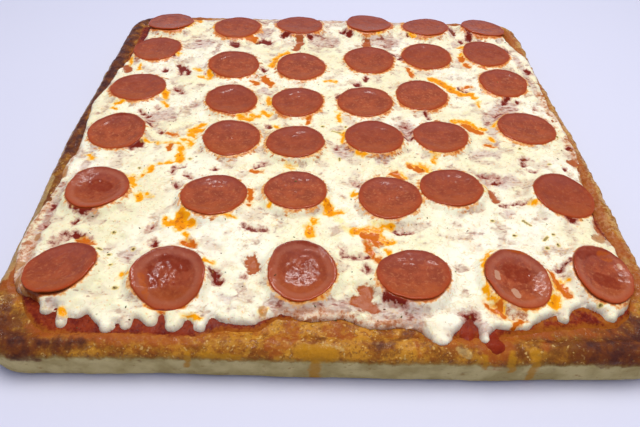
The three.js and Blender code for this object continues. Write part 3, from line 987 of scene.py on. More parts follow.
# %% Strokes of oil
OIL = [
    (-98, -100, -97, -108, 5), (-106, -105, -90, -106, 3), (-109, -101, -104, -106, 1.2),
    (-94, -112, -91, -120, 1.4), (-131, -78, -130, -83, 2), (-126, -78, -121, -80, 1),
    (-141, -60, -137, -70, 2.5), (-77, -140, -72, -140, 1.3), (-125, -150, -119, -151, 1.3),
    (-83, -177, -74, -179, 1), (-154, -175, -153, -176, 1.8), (0, -86, 2, -92, 4),
    (5, -93, 10, -92, 2.5), (-12, -108, -11, -113, 3.2), (-9, -101, -9, -102, 2),
    (18, -110, 27, -108, 3.6), (27, -108, 33, -109, 3), (33, -109, 33, -115, 3),
    (36, -106, 42, -106, 1.8), (34, -117, 41, -119, 3), (38, -126, 40, -130, 1.5),
    (19, -75, 21, -77, 2.5), (-38, -173, -37, -173, 1.8), (-39, -88, -39, -89, 1.8),
    (-72, -100, -62, -101, 1.2), (-99, 7, -103, 3, 2.5), (-108, -2, -98, -3, 2.5),
    (-108, -8, -103, -12, 2), (-112, -14, -107, -16, 1.5), (-106, -17, -105, -22, 2),
    (-112, -22, -110, -30, 2), (-111, -33, -110, -40, 3.2), (-112, -41, -124, -44, 1.8),
    (-129, -48, -130, -53, 2.5), (-132, -55, -136, -60, 1.3), (-141, -18, -113, -20, 1),
    (-178, -35, -175, -39, 1.8), (-177, 33, -172, 34, 2), (-178, 27, -175, 25, 1.5),
    (-138, 38, -133, 30, 1.2), (-141, 55, -137, 45, 2.5), (-70, 16, -62, 15, 3),
    (-49, 45, -47, 35, 2.2), (-52, 25, -47, 20, 2.5), (-60, 20, -55, 18, 1.5), (11, 25, 11, 13, 1.5),
    (-41, 6, -39, 3, 1.5), (14, 0, 13, -15, 1.5), (24, -30, 28, -32, 2.2), (35, -30, 42, -30, 1.5),
    (-30, -45, -24, -47, 1.4), (55, -52, 58, -55, 1.8), (62, -41, 74, -43, 1.8),
    (74, -43, 76, -50, 1.8), (82, -36, 82, -37, 2), (81, -28, 84, -31, 1.8), (107, 16, 118, 15, 2.5),
    (118, 14, 122, 6, 3), (122, 6, 129, 5, 2.2), (133, -6, 133, -7, 2), (137, 10, 143, 14, 1),
    (98, 82, 105, 75, 3.8), (105, 75, 112, 66, 4.2), (112, 64, 120, 58, 4.2), (118, 58, 128, 57, 3),
    (128, 57, 131, 52, 2.5), (133, 45, 132, 38, 1.2), (133, 140, 138, 138, 2.5),
    (132, 125, 132, 126, 2), (-46, 112, -49, 98, 3), (-43, 118, -35, 124, 3), (1, 75, 9, 75, 2.2),
    (-105, 85, -104, 76, 2.5), (-113, 77, -107, 76, 1.5), (-120, 92, -113, 88, 1.5),
    (-137, 175, -139, 165, 3), (-131, 185, -130, 184, 4), (-112, 170, -111, 170, 2),
    (-171, 97, -170, 90, 1.5), (-183, 110, -180, 100, 1.5), (-139, 118, -139, 116, 1.5),
    (56, 170, 55, 160, 2), (88, 165, 90, 160, 3), (170, 165, 170, 164, 2), (144, -82, 148, -82, 2),
    (133, -168, 137, -163, 2.6), (102, -165, 100, -172, 2.0), (104, -128, 99, -134, 1.3),
    (99, -134, 96, -143, 1.6), (96, -143, 94, -161, 1.4), (94, -161, 99, -168, 1.2),
    (138, -152, 140, -156, 2.0), (136, -162, 132, -166, 2.6), (140, -151, 147, -150, 0.9),
    (110, -72, 111, -72, 1.5), (114, -67, 114, -67, 1.2),
]
DEEP_OIL = [  # thicker or over sauce, so redder
    (22, -112, 32, -116, 2.6), (-28, -165, -16, -169.5, 0.5), (-16, -169.5, -3, -166, 0.6),
    (-106, -171, -95, -174.5, 0.8), (-95, -174.5, -84, -171, 0.8), (30, -113, 33, -120, 3),
    (-92, -122, -86, -123, 2.4), (50, -52, 55, -58, 2.6), (113, 11, 124, 1, 3), (62, -43, 70, -48, 2.6),
    (-158, -121, -151, -126, 3), (25, -119, 28, -130, 2.2), (28, -130, 32, -135, 2),
    (-54, -73, -53, -87, 2), (-125, -6, -118, -10, 1.8), (-121, -22, -120, -26, 2.5),
    (-13, 20, -14, 10, 2), (-53, -51, -48, -52, 1.8), (126, -15, 133, -16, 1.8),
    (124, 67, 130, 70, 1.8), (131, 120, 133, 115, 3), (134, 108, 136, 104, 3),
    (148, 104, 149, 103, 2.5), (78, 100, 80, 85, 2), (-55, 78, -48, 66, 3.5), (-65, 72, -62, 68, 3),
    (-82, 157, -72, 150, 5), (137, -145, 140, -152, 2.5), (140, -152, 143, -160, 2.5),
    (102, -165, 100, -172, 1.5), (96, -171, 103, -176, 1.6), (105, -182, 110, -179, 1.3),
    (113, -172, 122, -171, 1.2), (92, -165, 94, -170, 1.0),
]
WARM = [  # thin cheese over oily crust, mottled warm brown
    (-37, -180, -27, -176, 4), (-27, -176, -3, -176, 5), (-3, -175, 12, -177, 4.5),
    (12, -178, 39, -181, 3.5), (39, -181, 51, -183, 3), (98, -172, 112, -176, 5),
    (-192, -75, -195, -135, 3), (-195, -135, -193, -150, 3.5), (-190, -122, -188, -158, 5),
    (-192, -150, -182, -164, 6.5), (-190, -20, -191, -60, 2), (194, -5, 193, -50, 4),
    (187, -88, 182, -112, 4), (190, 62, 193, 20, 3.5), (-40, 191, 40, 191, 2.5),
]
YELLOW = [
    (7, -98, 14, -110, 3), (-131, -78, -130, -83, 3), (-9, -101, -8, -104, 3.5),
    (30, -104, 40, -102, 3),
]
print(len(OIL) + len(DEEP_OIL), "strokes of oil")

# %% Strokes of sauce that looks through, of thin cheese and of dark specks
GAPS = [
    (-169, -95, -164, -98.5, 2.4), (-171, -92, -160, -96, 3.5), (-187, -88, -186, -92, 1.5),
    (-169, -106, -166, -103, 1.2), (-186, -108, -186, -109, 1.8), (-171, -115, -168, -119, 2),
    (-164, -116, -155, -121, 2.8), (-176, -122, -175, -123, 2), (-112, -123, -110, -125, 2.2),
    (-117, -109, -117, -110, 1.5), (-109, -66, -105, -69, 1.5), (-70, -147, -67, -153, 3),
    (-90, -122, -87, -127, 2.8), (-56, -107, -50, -109, 1.5), (-50, -109, -41, -110, 1.5),
    (-52, -148, -52, -149, 1.5), (9, -123, 10, -127, 1.1), (10, -131, 20, -133, 1.4),
    (20, -133, 27, -131, 1.4), (25, -118, 27, -122, 1.2), (43, -108, 47, -111, 1.3),
    (47, -111, 55, -110, 1.3), (24, -139, 24, -144, 1.5), (36, -163, 43, -167, 4.5),
    (122, -83, 125, -84, 1.1), (130, -82, 142, -80, 0.9), (143, -142, 151, -137, 1.6),
    (80, -175, 85, -176, 2.4), (168, -98, 165, -95, 2.5), (-155, 24, -152, 20, 1.2),
    (-152, 20, -148, 17, 1.2), (-148, 17, -144, 17, 1.2), (-141, 29, -141, 28, 1.8),
    (-142, 5, -140, 2, 2.2), (-131, -5, -130, -5, 2), (-113, -48, -113, -54, 1),
    (-112, -48, -106, -47, 1.1), (-103, -55, -97, -60, 1.4), (-83, -49, -82, -49, 2),
    (-131, 58, -125, 52, 1.5), (-150, -25, -144, -22, 4), (-47, 5, -46, 5, 2.4),
    (-53, -46, -47, -42, 1.4), (66, 10, 66, 9, 2.4), (68, -2, 68, -3, 2.4), (62, -10, 70, -12, 1.5),
    (84, 28, 86, 20, 1.5), (8, -22, 8, -23, 1.6), (11, 50, 11, 45, 1.6), (21, -63, 24, -67, 1.3),
    (160, 52, 155, 45, 2), (168, 48, 168, 47, 2), (150, 30, 143, 25, 2), (155, 33, 154, 32, 1.5),
    (180, 38, 180, 37, 2), (151, -32, 154, -30, 2), (150, -37, 150, -38, 2), (152, -45, 156, -46, 1.3),
    (180, -42, 180, -43, 1.5), (192, -18, 192, -19, 2.4), (115, -53, 129, -53, 1.1),
    (118, -60, 128, -59, 1.5), (-89, 140, -88, 140, 3.6), (-136, 99, -131, 90, 1.5),
    (-131, 90, -131, 83, 1.5), (-130, 95, -124, 84, 1.1), (-147, 90, -146, 89, 2),
    (-47, 187, -40, 185, 3.4), (-37, 172, -33, 160, 3), (-40, 157, -35, 158, 2.6),
    (-60, 148, -55, 145, 3.6), (-65, 145, -64, 145, 3), (-15, 154, -14, 154, 2.4),
    (-57, 92, -56, 91, 2), (19, 168, 20, 168, 2), (25, 163, 26, 162, 2.4), (66, 124, 67, 124, 2.4),
    (73, 118, 74, 118, 2), (38, 82, 37, 78, 1.6), (30, 73, 29, 70, 2.4), (131, 172, 132, 171, 3),
    (147, 170, 147, 158, 2), (138, 155, 138, 154, 2.4), (156, 175, 157, 174, 2),
    (190, 100, 191, 95, 1.6), (-166, 112, -160, 108, 1.6), (-150, 118, -142, 112, 1.4),
    (-108, 84, -101, 80, 1.3), (-94, 172, -88, 168, 1.8), (-8, 108, -2, 104, 1.3),
    (86, 162, 92, 158, 1.8), (104, 110, 108, 104, 1.5), (162, 84, 168, 78, 1.4),
    (120, 66, 126, 62, 1.3), (178, 140, 180, 132, 1.8),
]
BALD = [  # only a skin of cheese, salmon or red-brown
    (-48, -135, -46, -143, 4), (22, -158, 22, -168, 5), (17, -165, 26, -170, 4),
    (118, -70, 120, -78, 3), (187, -95, 184, -105, 3), (188, -33, 192, -39, 3), (-26, 160, -24, 145, 4),
    (-24, 145, -29, 133, 3.6), (42, 140, 42, 150, 4.6), (-183, 95, -180, 89, 4),
]
VEILS = [
    (-120, -136, -118, -136, 2.4), (-62, -165, -58, -166, 2.4), (96, -111, 102, -112, 2.6),
    (-136, -2, -133, -1, 2.6), (-125, -134, -124, -133, 5), (-142, 15, -130, 20, 8),
    (-110, 35, -110, 34, 5), (10, -27, 14, -27, 8), (41, -35, 43, -35, 6), (-55, 55, -54, 56, 5),
    (65, 5, 67, -6, 9), (142, 24, 158, 40, 10), (135, 17, 136, -15, 4), (118, -27, 132, -27, 5),
    (118, -57, 134, -58, 8), (124, -90, 124, -91, 4), (-124, 140, -116, 140, 9), (-6, 150, 6, 150, 11),
    (54, 150, 66, 150, 11), (-62, 160, -58, 166, 8), (115, 160, 116, 160, 5), (-32, -169, 14, -169, 6),
    (28, -172, 50, -177, 7), (80, -176, 92, -188, 5), (-160, -170, -152, -180, 3),
    (-176, 0, -178, -60, 3), (-182, 120, -178, 150, 3), (186, 120, 188, 60, 3),
    (-120, 188, 120, 190, 4), (-188, -120, -186, -156, 4), (-186, -70, -188, -115, 4),
]
SPECKS = [
    (-123, -129, -122.5, -129, 0.9), (-144, -130, -143, -130.5, 1.0), (-137, -134, -136, -134, 0.7),
    (-134, -142, -133.5, -142, 0.8), (-139, -115, -138, -115.5, 0.9), (-127, -159, -126, -159, 1.0),
    (112, -99, 112.6, -99, 0.9), (133, -99, 137, -103, 0.9), (123, -113, 124, -113, 0.9),
    (142, -117, 145, -114, 0.8), (149, -112, 150, -112, 0.8), (142, -123, 143, -123, 0.8),
    (150, -120, 150.5, -121, 0.8), (-103, -38, -102, -38, 0.8), (-138, -49, -137.5, -50, 0.8),
    (-3, 5, -2, 5, 0.9), (5, -1, 12, -3, 0.7), (10, -35, 10, -38, 0.7), (16, 5, 16.5, 5, 0.9),
    (186, -4, 186, -5, 0.9), (152, -19, 152.5, -19, 0.9), (170, -37, 170.6, -37, 0.9),
    (160, -168, 160.5, -168, 1.0),
]
BLISTERS = [
    (179, -114, 180, -113, 4), (-187, -119, -187, -118, 2), (-185, -155, -184, -153, 3.5),
    (-191, -142, -190, -141, 3), (-178, -161, -177, -160, 2.6), (-38, -174, -38, -173, 2.4),
    (189, -60, 190, -52, 2.5), (-191, -60, -192, -50, 2.5),
]
LUMPS = [  # x, y, radius and height of single lumps of cheese
    (124, -37, 9, 1.0), (15, -145, 12, 1.5), (-148, 25, 7, 1.0), (-52, -166, 14, 0.8),
    (24, -117, 4, 0.9), (17, -123, 8, 0.8), (63, -183, 8, 0.7), (30, -42, 14, 0.5),
    (-120, -120, 12, 0.6), (140, -120, 12, 0.5), (-130, -30, 9, 0.5), (73, -150, 7, 0.6),
    (-60, 0, 10, 0.4), (-110, 120, 14, 0.5),
]
print(len(GAPS), "gaps,", len(VEILS), "veils,", len(SPECKS), "specks")

# %% [markdown]
# ## The height of the cheese
# Under each slice the cheese has to stay low, at the slice's rim it may rise a little, as wet
# cheese does, and everywhere else it follows the dough and its own lumps. Gaps dip down to the
# sauce, and puddles are flat and lie a bit deeper. The relief has three sizes: thick curds with
# hollows between them, small bubbles, and little lumps.

# %% Level and relief of the cheese
CHEESE_LEVEL = 28.0


def rest_level(x, y):
    """Height of the cheese without its relief: two slow waves, and a rise along the back."""
    wave = 0.5 * np.sin(x / 41 + 0.6) * np.cos(y / 35)
    wave += 0.3 * np.sin(x / 17 + y / 21) * np.sin(y / 19 - x / 24)
    return CHEESE_LEVEL + wave + 1.2 * between(y, 150, 190)


def curds(x, y):
    """Thick curds above 0 and the hollows between them below 0, stretched a little sideways."""
    bent_x, bent_y = x + 5 * rough(x, y, 33, 83), y + 5 * rough(x, y, 33, 87)
    return rough(bent_x * 0.8, bent_y, 11, 89, 4)


def cheese_relief(x, y):
    """Curds, small bubbles and little lumps, in mm."""
    away, own = pebbles(x + 1.5 * rough(x, y, 7, 97), y, 5.2, 101)
    bubbles = np.clip(1 - (away / 0.55) ** 2, 0, 1) * np.clip(own - 0.35, 0, 1)
    return 1.35 * curds(x, y) + 0.45 * bubbles + 0.4 * rough(x, y, 5, 103)


sample = cheese_relief(*np.meshgrid(np.arange(-50.0, 50), np.arange(-50.0, 50)))
print("relief of the cheese from", sample.min().round(1), "to", sample.max().round(1), "mm")


# %% The cheese round the slices
def near_slice(s, x, y):
    """Of the places near slice s: which they are, how far outside its outline, and the height
    of its underside there."""
    close = np.nonzero(np.hypot(x - s["centre"][0], y - s["centre"][1]) < s["radius"] + 9)[0]
    across, away, axis = s["frame"]
    dx, dy = x[close] - s["centre"][0], y[close] - s["centre"][1]
    lean = -(axis[0] * dx + axis[1] * dy) / axis[2]
    along = dx * across[0] + dy * across[1] + lean * across[2]
    beyond = dx * away[0] + dy * away[1] + lean * away[2]
    distance, angle = np.hypot(along, beyond), np.arctan2(beyond, along)
    outline = slice_outline(s, angle)
    share = np.minimum(distance / outline, 1)
    underside = s["centre"][2] + lean + cup(s, share, angle) / axis[2]
    return close, distance - outline, underside


def held_by_slices(height, deep, x, y):
    """The cheese climbs the rim of each slice a little, and stays below its underside."""
    for s in slices:
        close, outside, underside = near_slice(s, x, y)
        back_row, off_rim = s["row"] == 1, np.maximum(outside, 0)
        level = rest_level(x[close], y[close])
        climb = underside + 1.5 - (0.12 if back_row else 0.22) * off_rim**1.3 - level
        most = 0.4 + 3.6 * between(deep[close], 3, 14)
        wetting = level + np.minimum(climb, most + 0.5 * np.maximum(climb - most, 0))
        near_rim = between(outside, 8.8 if back_row else 7, 0.5)
        pulled = height[close] * (1 - near_rim) + near_rim * np.maximum(height[close], wetting)
        ceiling = underside - 0.25 + 1.85 * between(outside, -2.6, -0.4) + 1.6 * off_rim
        height[close] = np.minimum(pulled, ceiling)
    return height


def oil_shadow_and_fray(x, y):
    """Fat that seeps out round the slices, more in front of each slice than behind it, a painted
    shadow right under their edge, and the frayed bits that lie between them."""
    seep, shade, fray = np.zeros(len(x)), np.zeros(len(x)), np.zeros(len(x))
    for s in slices:
        close, outside, _ = near_slice(s, x, y)
        dx, dy = x[close] - s["centre"][0], y[close] - s["centre"][1]
        angle = np.arctan2(dy, dx)
        front = 0.5 - 0.5 * np.sin(angle + 0.5 * np.sin(s["turn"]))
        patchy = hills(6 * np.cos(angle) + 11 * s["turn"], 6 * np.sin(angle), 3.1, 137)
        back_row = s["row"] == 1
        width = 1.1 + (3.0 + 1.6 * back_row) * np.clip(0.2 + front * 0.6 + 1.1 * patchy, 0, 1.4)
        amount = (0.5 + 0.5 * front) * (1 + 0.35 * (s["row"] < 4) + 0.2 * back_row)
        much = {6: 0.25, 5: 0.6, 2: 1.1, 1: 1.1}.get(s["row"], 0.95)
        fray[close] = np.maximum(fray[close], between(outside, 9, 1.5) * np.clip(much + 0.5 * patchy, 0, 1))
        seep[close] = np.maximum(seep[close], between(outside, width, 0.1 * width) * amount)
        # painted shadow right under each slice's edge
        shade[close] = np.maximum(shade[close], between(outside, 1.3, -0.2))
    return {"seep": seep, "shade": shade, "fray": fray}


_, outside, underside = near_slice(slices[0], *slices[0]["centre"][:2, None])
print("first slice's middle:", -outside[0].round(1), "mm inside its rim,", underside[0].round(1), "mm up")


# %% Height and masks of the cheese
def soft(depth, spread):
    """A mask that is 0.5 on the edge of a stroke, and 0 and 1 at `spread` mm off it."""
    return np.clip(0.5 + depth / (2 * spread), 0, 1)


def cheese_shape(x, y):
    """Height of the cheese and the masks for its finish."""
    wx, wy = x + 1.3 * rough(x, y, 6, 107), y + 1.3 * rough(x, y, 6, 109)
    oil = inside_strokes(wx, wy, OIL)
    deep_oil = inside_strokes(wx, wy, DEEP_OIL)
    gap = inside_strokes(wx, wy, GAPS) + 0.9 * between(y, 20, 110)
    bald = inside_strokes(wx, wy, BALD)
    # the hollows between the curds: thinner cheese there, with painted shade laid over it in the finish
    shaded_hollow = between(-curds(x, y), -0.02, 0.5)
    patches = 3.0 * rough(x, y, 9, 113)
    scattered = (0.6 + 0.3 * between(np.abs(x), 60, 140)) * between(y, 40, 130)
    veil = between(inside_strokes(wx, wy, VEILS) + patches, -3.5, 4)
    veil = np.maximum(veil, scattered * between(patches, 0, 1.6))
    base = np.maximum(dough_height(x, y), FLOOR)
    deep = cheese_reach(x, y)
    full = rest_level(x, y) + cheese_relief(x, y)
    for lx, ly, radius, height in LUMPS:
        full += height * np.exp(-((x - lx) ** 2 + (y - ly) ** 2) / radius**2 * 2)
    warm = painted(x, y, WARM, -3, 3, 1.5, 9, 173)
    full -= 0.8 * veil + 2.0 * warm
    puddle = between(np.maximum(oil, deep_oil), -1.5, 1.2) * 0.8
    full = full * (1 - puddle) + puddle * (rest_level(x, y) - 0.8)
    dip = np.maximum(0.62 * between(gap, -2.6, 1.6), 0.7 * between(bald, -3.5, 1.5))
    full = full * (1 - dip) + dip * (SAUCE_LEVEL + 0.5 + 0.15 * rough(x, y, 3, 127))
    full = np.maximum(full, base + 1.1 - 0.5 * warm)
    full = held_by_slices(full, deep, x, y)
    z = base + (full - base) * bulge(deep + 0.05, 3.2 + 0.8 * rough(x, y, 14, 131))
    masks = {"oil": soft(oil, 3), "deep_oil": soft(deep_oil, 3), "gap": soft(gap, 3), "bald": soft(bald, 3)}
    masks |= {"veil": veil, "shaded_hollow": shaded_hollow, "warm": warm}
    masks |= {"yellow": soft(inside_strokes(x, y, YELLOW), 4), "edge": between(deep, 5, 0.3)}
    masks |= oil_shadow_and_fray(x, y)
    masks |= {"blister": painted(x, y, BLISTERS, -1.8, 1.0), "speck": painted(x, y, SPECKS, -1.2, 0.7)}
    return z, masks


def cheese_points():
    xs = np.arange(-200, 200.1, 1.25)
    ys = np.concatenate([np.arange(-196, -120, 1.1), np.arange(-120, 60, 1.4), np.arange(60, 200, 1.75)])
    return sheet_points(xs, ys, cheese_reach)


x, y, quads = cheese_points()
z, masks = cheese_shape(x, y)
print(len(quads), "cells, cheese up to", z.max().round(1), "mm high")

# %% [markdown]
# ## The finish of the cheese
# Melted mozzarella is not white. It is a warm cream where it is thick, pinkish where the sauce
# shines through, and tan where it blistered, and it lets light in a little. Oil turns it orange
# and makes it glossy. The board stacks those layers from the bottom up, and most masks are first
# roughened with noise, so that their borders are not smooth.

# %% Cheese
def cheese_finish():
    board = Board("melted_mozzarella")
    broad, mid = board.noise(60, 2, 6.0), board.noise(11, 3, 7.0)
    fine, grain = board.noise(3.6, 4, 8.0, 0.55), board.noise(1.8, 1, 9.0)
    other, streak = board.noise(2.6, 2, 10.0, 0.5), board.noise(3.0, 2, 15.0, 0.5, 1.7)
    shaded_hollow, veil = board.ragged("shaded_hollow", mid, 0.5), board.ragged("veil", fine, 0.8)
    low = board.sum(board.times(shaded_hollow, 0.6), board.times(veil, 0.8))
    crease = board.ramp(board.off(low, 0.55), 0.20, 0.03)
    crease = board.times(crease, board.ramp(board.noise(7, 2, 38.0), 0.50, 0.62))
    seam = board.ramp(board.off(board.noise(9, 2, 33.0), 0.5), 0.03, 0.0)
    seam = board.times(seam, board.ramp(board.noise(17, 1, 34.0), 0.46, 0.60))
    pit = board.sum(board.noise(2.8, 2, 35.0, 0.5, 1.5), board.times(low, 0.20))
    fray = board.ragged("fray", board.noise(3.4, 3, 39.0, 0.6, 1.5), 5.0)
    thin = board.sum(low, board.shift(streak, 3.9))
    seep, gap = board.ragged("seep", other, 2.4), board.ragged("gap", fine, 1.5)
    warm = board.ragged("warm", board.noise(3.4, 4, 36.0, 0.65), 3.6)
    oil = board.ragged("oil", board.noise(4.0, 1, 22.0), 1.0)
    deep = board.ragged("deep_oil", board.noise(4.0, 1, 23.0), 1.1)
    base = board.layers(
        "#F6F4E0",
        (broad, 0.35, 0.65, 1, "#EEEAC6"),
        (mid, 0.48, 0.70, 0.5, "#E9DDC0"),
        (board.noise(6, 2, 37.0), 0.52, 0.74, 0.4, "#DCD4A4"),
        # painted shade and thinner cheese in the hollows between the curds
        (shaded_hollow, 0.0, 1.1, 0.6, "#D2BEA8"),
        (veil, 0.0, 1.2, 0.72, "#C6ACA6"),
        (board.times(crease, 0.5), "#A67A64"),
        (board.times(seam, 0.35), "#CDB070"),
        (pit, 0.66, 0.80, 0.6, "#96685A"),
        (fray, 1.00, 1.40, 0.75, "#DC9A54"),
        (fray, 1.30, 1.70, 0.85, "#AC5622"),
        (thin, 0.85, 1.55, 0.6, "#B47C68"),
        (thin, 1.32, 1.80, 0.8, "#803624"),
        (board.noise(2.2, 1, 20.0), 0.70, 0.78, 0.6, "#DE9C48"),
        (board.noise(1.9, 1, 31.0), 0.71, 0.79, 0.6, "#A09060"),
        (board.ragged("edge", fine, 1.4), 0.45, 1.0, 0.45, "#D8CCBC"),
        (board.ragged("yellow", fine, 1.4), 0.30, 1.0, 0.7, "#F2E083"),
        (seep, 0.30, 0.80, 0.8, "#E6A048"),
        (seep, 0.75, 1.20, 0.85, "#BC5818"),
        (warm, 0.20, 1.20, 0.8, "#D0A284"),
        (warm, 0.85, 1.40, 0.85, "#A8602E"),
        (board.ragged("bald", fine, 1.2), 0.35, 0.65, 1, "#A6562A"),
        (gap, 0.15, 0.52, 0.75, "#C08C7C"),
        (gap, 0.44, 0.72, 1, "#741F10"),
        (oil, 0.15, 0.50, 0.7, "#F4D070"),
        (oil, 0.44, 0.62, 1, "#F2A200"),
        (oil, 0.66, 1.0, 0.7, "#E08000"),
        (board.sum(oil, board.shift(other, 4.0)), 1.15, 1.55, 0.75, "#B8620E"),
        (deep, 0.20, 0.45, 0.6, "#EEB45A"),
        (deep, 0.42, 0.60, 1, "#C8660C"),
        (board.ragged("blister", fine, 0.9), 0.3, 0.8, 0.8, "#B07A44"),
        (board.mask("speck"), 0.05, 0.50, 0.7, "#E4CC74"),
        (board.mask("speck"), 0.45, 0.80, 0.8, "#7A6428"),
        # painted shadow right under the edge of each slice
        (board.mask("shade"), 0.2, 0.9, 0.9, "#8E3C12"),
    )
    board.bump(board.sum(board.times(mid, 0.7), board.times(grain, 0.2)), 0.8)
    wet = board.sum(board.ramp(oil, 0.3, 0.6), board.ramp(gap, 0.4, 0.7))
    wet = board.sum(board.sum(wet, board.ramp(deep, 0.3, 0.6)), board.times(board.mask("seep"), 0.7))
    gloss = board.ramp(board.sum(wet, board.times(fine, 0.3)), 0.1, 0.9, 0.32, 0.20)
    return board.finish(
        base,
        gloss,
        Specular_IOR_Level=0.15,
        Subsurface_Weight=0.2,
        Subsurface_Radius=(1.0, 0.65, 0.4),
        Subsurface_Scale=0.002,
    )


points, faces, masks = close_sheet(x, y, z, quads, FLOOR - 0.2, masks)
cheese = make_piece("melted_cheese", points, faces, cheese_finish(), masks, ["cheese"])

# %% [markdown]
# ## The pepperoni
# A slice is a round of minced meat in a casing. In the oven the casing shrinks, so the edge
# curls up, and fat collects in the cup. The mesh is a grid of rings and spokes that goes round
# the section of the slice: out along the underside, up the cut edge, and back in on top. Every
# ring then gets the slice's own curl, and a little relief from the grain of the meat.

# %% Points of one slice
SPOKES = 92
SLICE_ROWS = [  # share of the radius, and of the thickness
    (0.30, 0), (0.62, 0), (0.80, 0), (0.90, 0), (0.955, 0.02), (0.978, 0.10), (0.992, 0.28),
    (1.0, 0.52), (1.0, 0.74), (0.990, 0.90), (0.972, 0.985), (0.948, 1.02), (0.92, 1),
] + [(share, 1) for share in np.linspace(0.89, 0.05, 27)]


def slice_points(s):
    angle = np.linspace(0, 2 * math.pi, SPOKES, endpoint=False)
    share, thick = (np.array(column)[:, None] for column in zip(*SLICE_ROWS))
    ring_x, ring_y = 9 * np.cos(angle) + 7 * s["turn"], 9 * np.sin(angle)
    nicks = 0.016 * hills(ring_x, ring_y, 2.4, 139)
    nicks -= 0.035 * np.clip(hills(ring_x, ring_y, 1.5, 141) - 0.3, 0, 1)
    outline = slice_outline(s, angle) * (1 + nicks)
    along, beyond = share * outline * np.cos(angle), share * outline * np.sin(angle)
    sx, sy = s["centre"][0] + along, s["centre"][1] + beyond
    top = (thick >= 0.5) * 1.0
    relief = 0.20 * rough(sx, sy, 6, 149) + 0.09 * rough(sx, sy, 2.4, 151)
    relief += 0.22 * hills(sx, sy, 17, 157)
    wandering = share + 0.10 * hills(3 * np.cos(angle) + s["turn"], 3 * np.sin(angle), 2, 163)
    relief = relief - 0.5 * (1 - ease((wandering - 0.15) / 0.65))
    relief += (0.05 + 0.05 * min(1, s["curl"] / 2)) * hills(sx, sy, 2.7, 175)
    bent = share + 0.12 * rough(sx, sy, 12, 167)
    ridges = np.exp(-(((bent - 0.70) / 0.055) ** 2)) + 0.7 * np.exp(-(((bent - 0.48) / 0.05) ** 2))
    far_side = between(np.sin(angle), -0.3, 0.5)
    relief = relief + 0.42 * ridges * far_side * np.clip(0.4 + 1.6 * hills(sx, sy, 9, 171), 0, 1)
    height = cup(s, share, angle) + SLICE_THICK * thick + top * relief * np.minimum(1, (1.02 - share) * 14)
    across, away, axis = s["frame"]
    grid = s["centre"] + along[..., None] * across + beyond[..., None] * away + height[..., None] * axis
    middle_top = s["centre"] + axis * (SLICE_THICK + cup(s, 0.0, 0.0))
    points = np.concatenate([grid.reshape(-1, 3), [s["centre"]], [middle_top]])
    faces = lofted(len(SLICE_ROWS), SPOKES)
    rim = np.r_[np.broadcast_to(share, along.shape).ravel(), 0, 0]
    up_side = np.r_[np.broadcast_to(thick, along.shape).ravel(), 0, 1]
    return points, faces, rim, up_side


print(len(SLICE_ROWS), "rings of", SPOKES, "points go round the section of a slice")


# %% Where fat lies on the slices
POOLS = [  # strokes, as on the cheese
    (-100, -140, -88, -144, 4), (-106, -147, -104, -157, 3.2), (-23, -124, -8, -127, 3.6),
    (-162, -70, -157, -72, 6), (-168, 12, -155, 14, 2.4), (113, -144, 119, -147, 6),
    (167, -149, 173, -152, 5), (90, -134, 98, -128, 3.4), (98, -128, 110, -126, 3.6),
    (110, -126, 120, -130, 3), (158, -134, 166, -129, 2.6), (166, -129, 176, -129, 2.6),
]
LIGHT_SPOTS = [
    (103, -147, 103, -150, 2.2), (111.5, -159, 112.5, -162, 2.3), (182, -139, 182, -141, 1.6),
]
ORANGE_SPOTS = [(174, -131, 177, -133, 3.5), (107, -128, 133, -134, 1.8), (-112, -152, -107, -165, 2)]
print(len(slices), "slices of", SPOKES * len(SLICE_ROWS), "points each")


# %% Finish of the pepperoni
def pepperoni_finish():
    board = Board("pepperoni")
    patches, meat = board.noise(9, 3, 11.0), board.noise(3.2, 4, 12.0, 0.6)
    fat, grain = board.noise(2.1, 2, 13.0, 0.4), board.noise(0.9, 3, 14.0, 0.6)
    # how far each place lies towards the back of the slice, for the painted sheen and the painted shade
    # below
    painted_light_side, rim = board.ragged("far", meat, 0.9), board.ragged("rim", meat, 0.10)
    # painted shade along the back rim of each slice
    behind = board.times(board.ramp(rim, 0.82, 0.96), board.ramp(painted_light_side, 0.0, 0.7))
    pool = board.ragged("pool", meat, 2.0)
    base = board.layers(
        "#A65030",
        (patches, 0.34, 0.64, 1, "#8C4028"),
        (meat, 0.48, 0.68, 0.4, "#7C301C"),
        (fat, 0.56, 0.68, 0.5, "#BA704A"),
        (grain, 0.56, 0.70, 0.4, "#C07A50"),
        (board.times(board.mask("own"), 0.5), "#8A3A22"),
        # painted reflection: a purple sheen over the back of each slice, and a warmer front half
        (painted_light_side, 0.10, 0.85, 0.5, "#8C4640"),
        (painted_light_side, -0.05, -0.75, 0.4, "#A8541C"),
        (board.ragged("band", meat, 0.8), 0.3, 1.0, 0.4, "#B06A52"),
        (rim, 0.80, 0.97, 0.5, "#A03C14"),
        (rim, 0.955, 1.0, 0.7, "#A83C12"),
        # painted shade at the back rim
        (board.times(behind, 0.55), "#763024"),
        (pool, 0.20, 1.1, 0.75, "#7C260C"),
        (board.ragged("light", meat, 1.2), 0.35, 0.8, 0.65, "#C8A084"),
        (board.ragged("orange", meat, 2.4), 0.4, 1.2, 0.6, "#B4560E"),
        (board.mask("below"), 0.90, 0.20, 0.9, "#A64C18"),
    )
    wrinkles, dents = board.noise(6, 1, 16.0, 0.5, 1.5), board.noise(2.6, 1, 17.0)
    board.bump(board.sum(board.times(wrinkles, 0.30), board.times(dents, 0.22)), 0.7)
    gloss = board.ramp(board.sum(pool, board.times(patches, 0.6)), 0.2, 1.0, 0.20, 0.14)
    return board.finish(base, gloss, Specular_IOR_Level=0.16, Coat_Weight=0.02, Coat_Roughness=0.08)


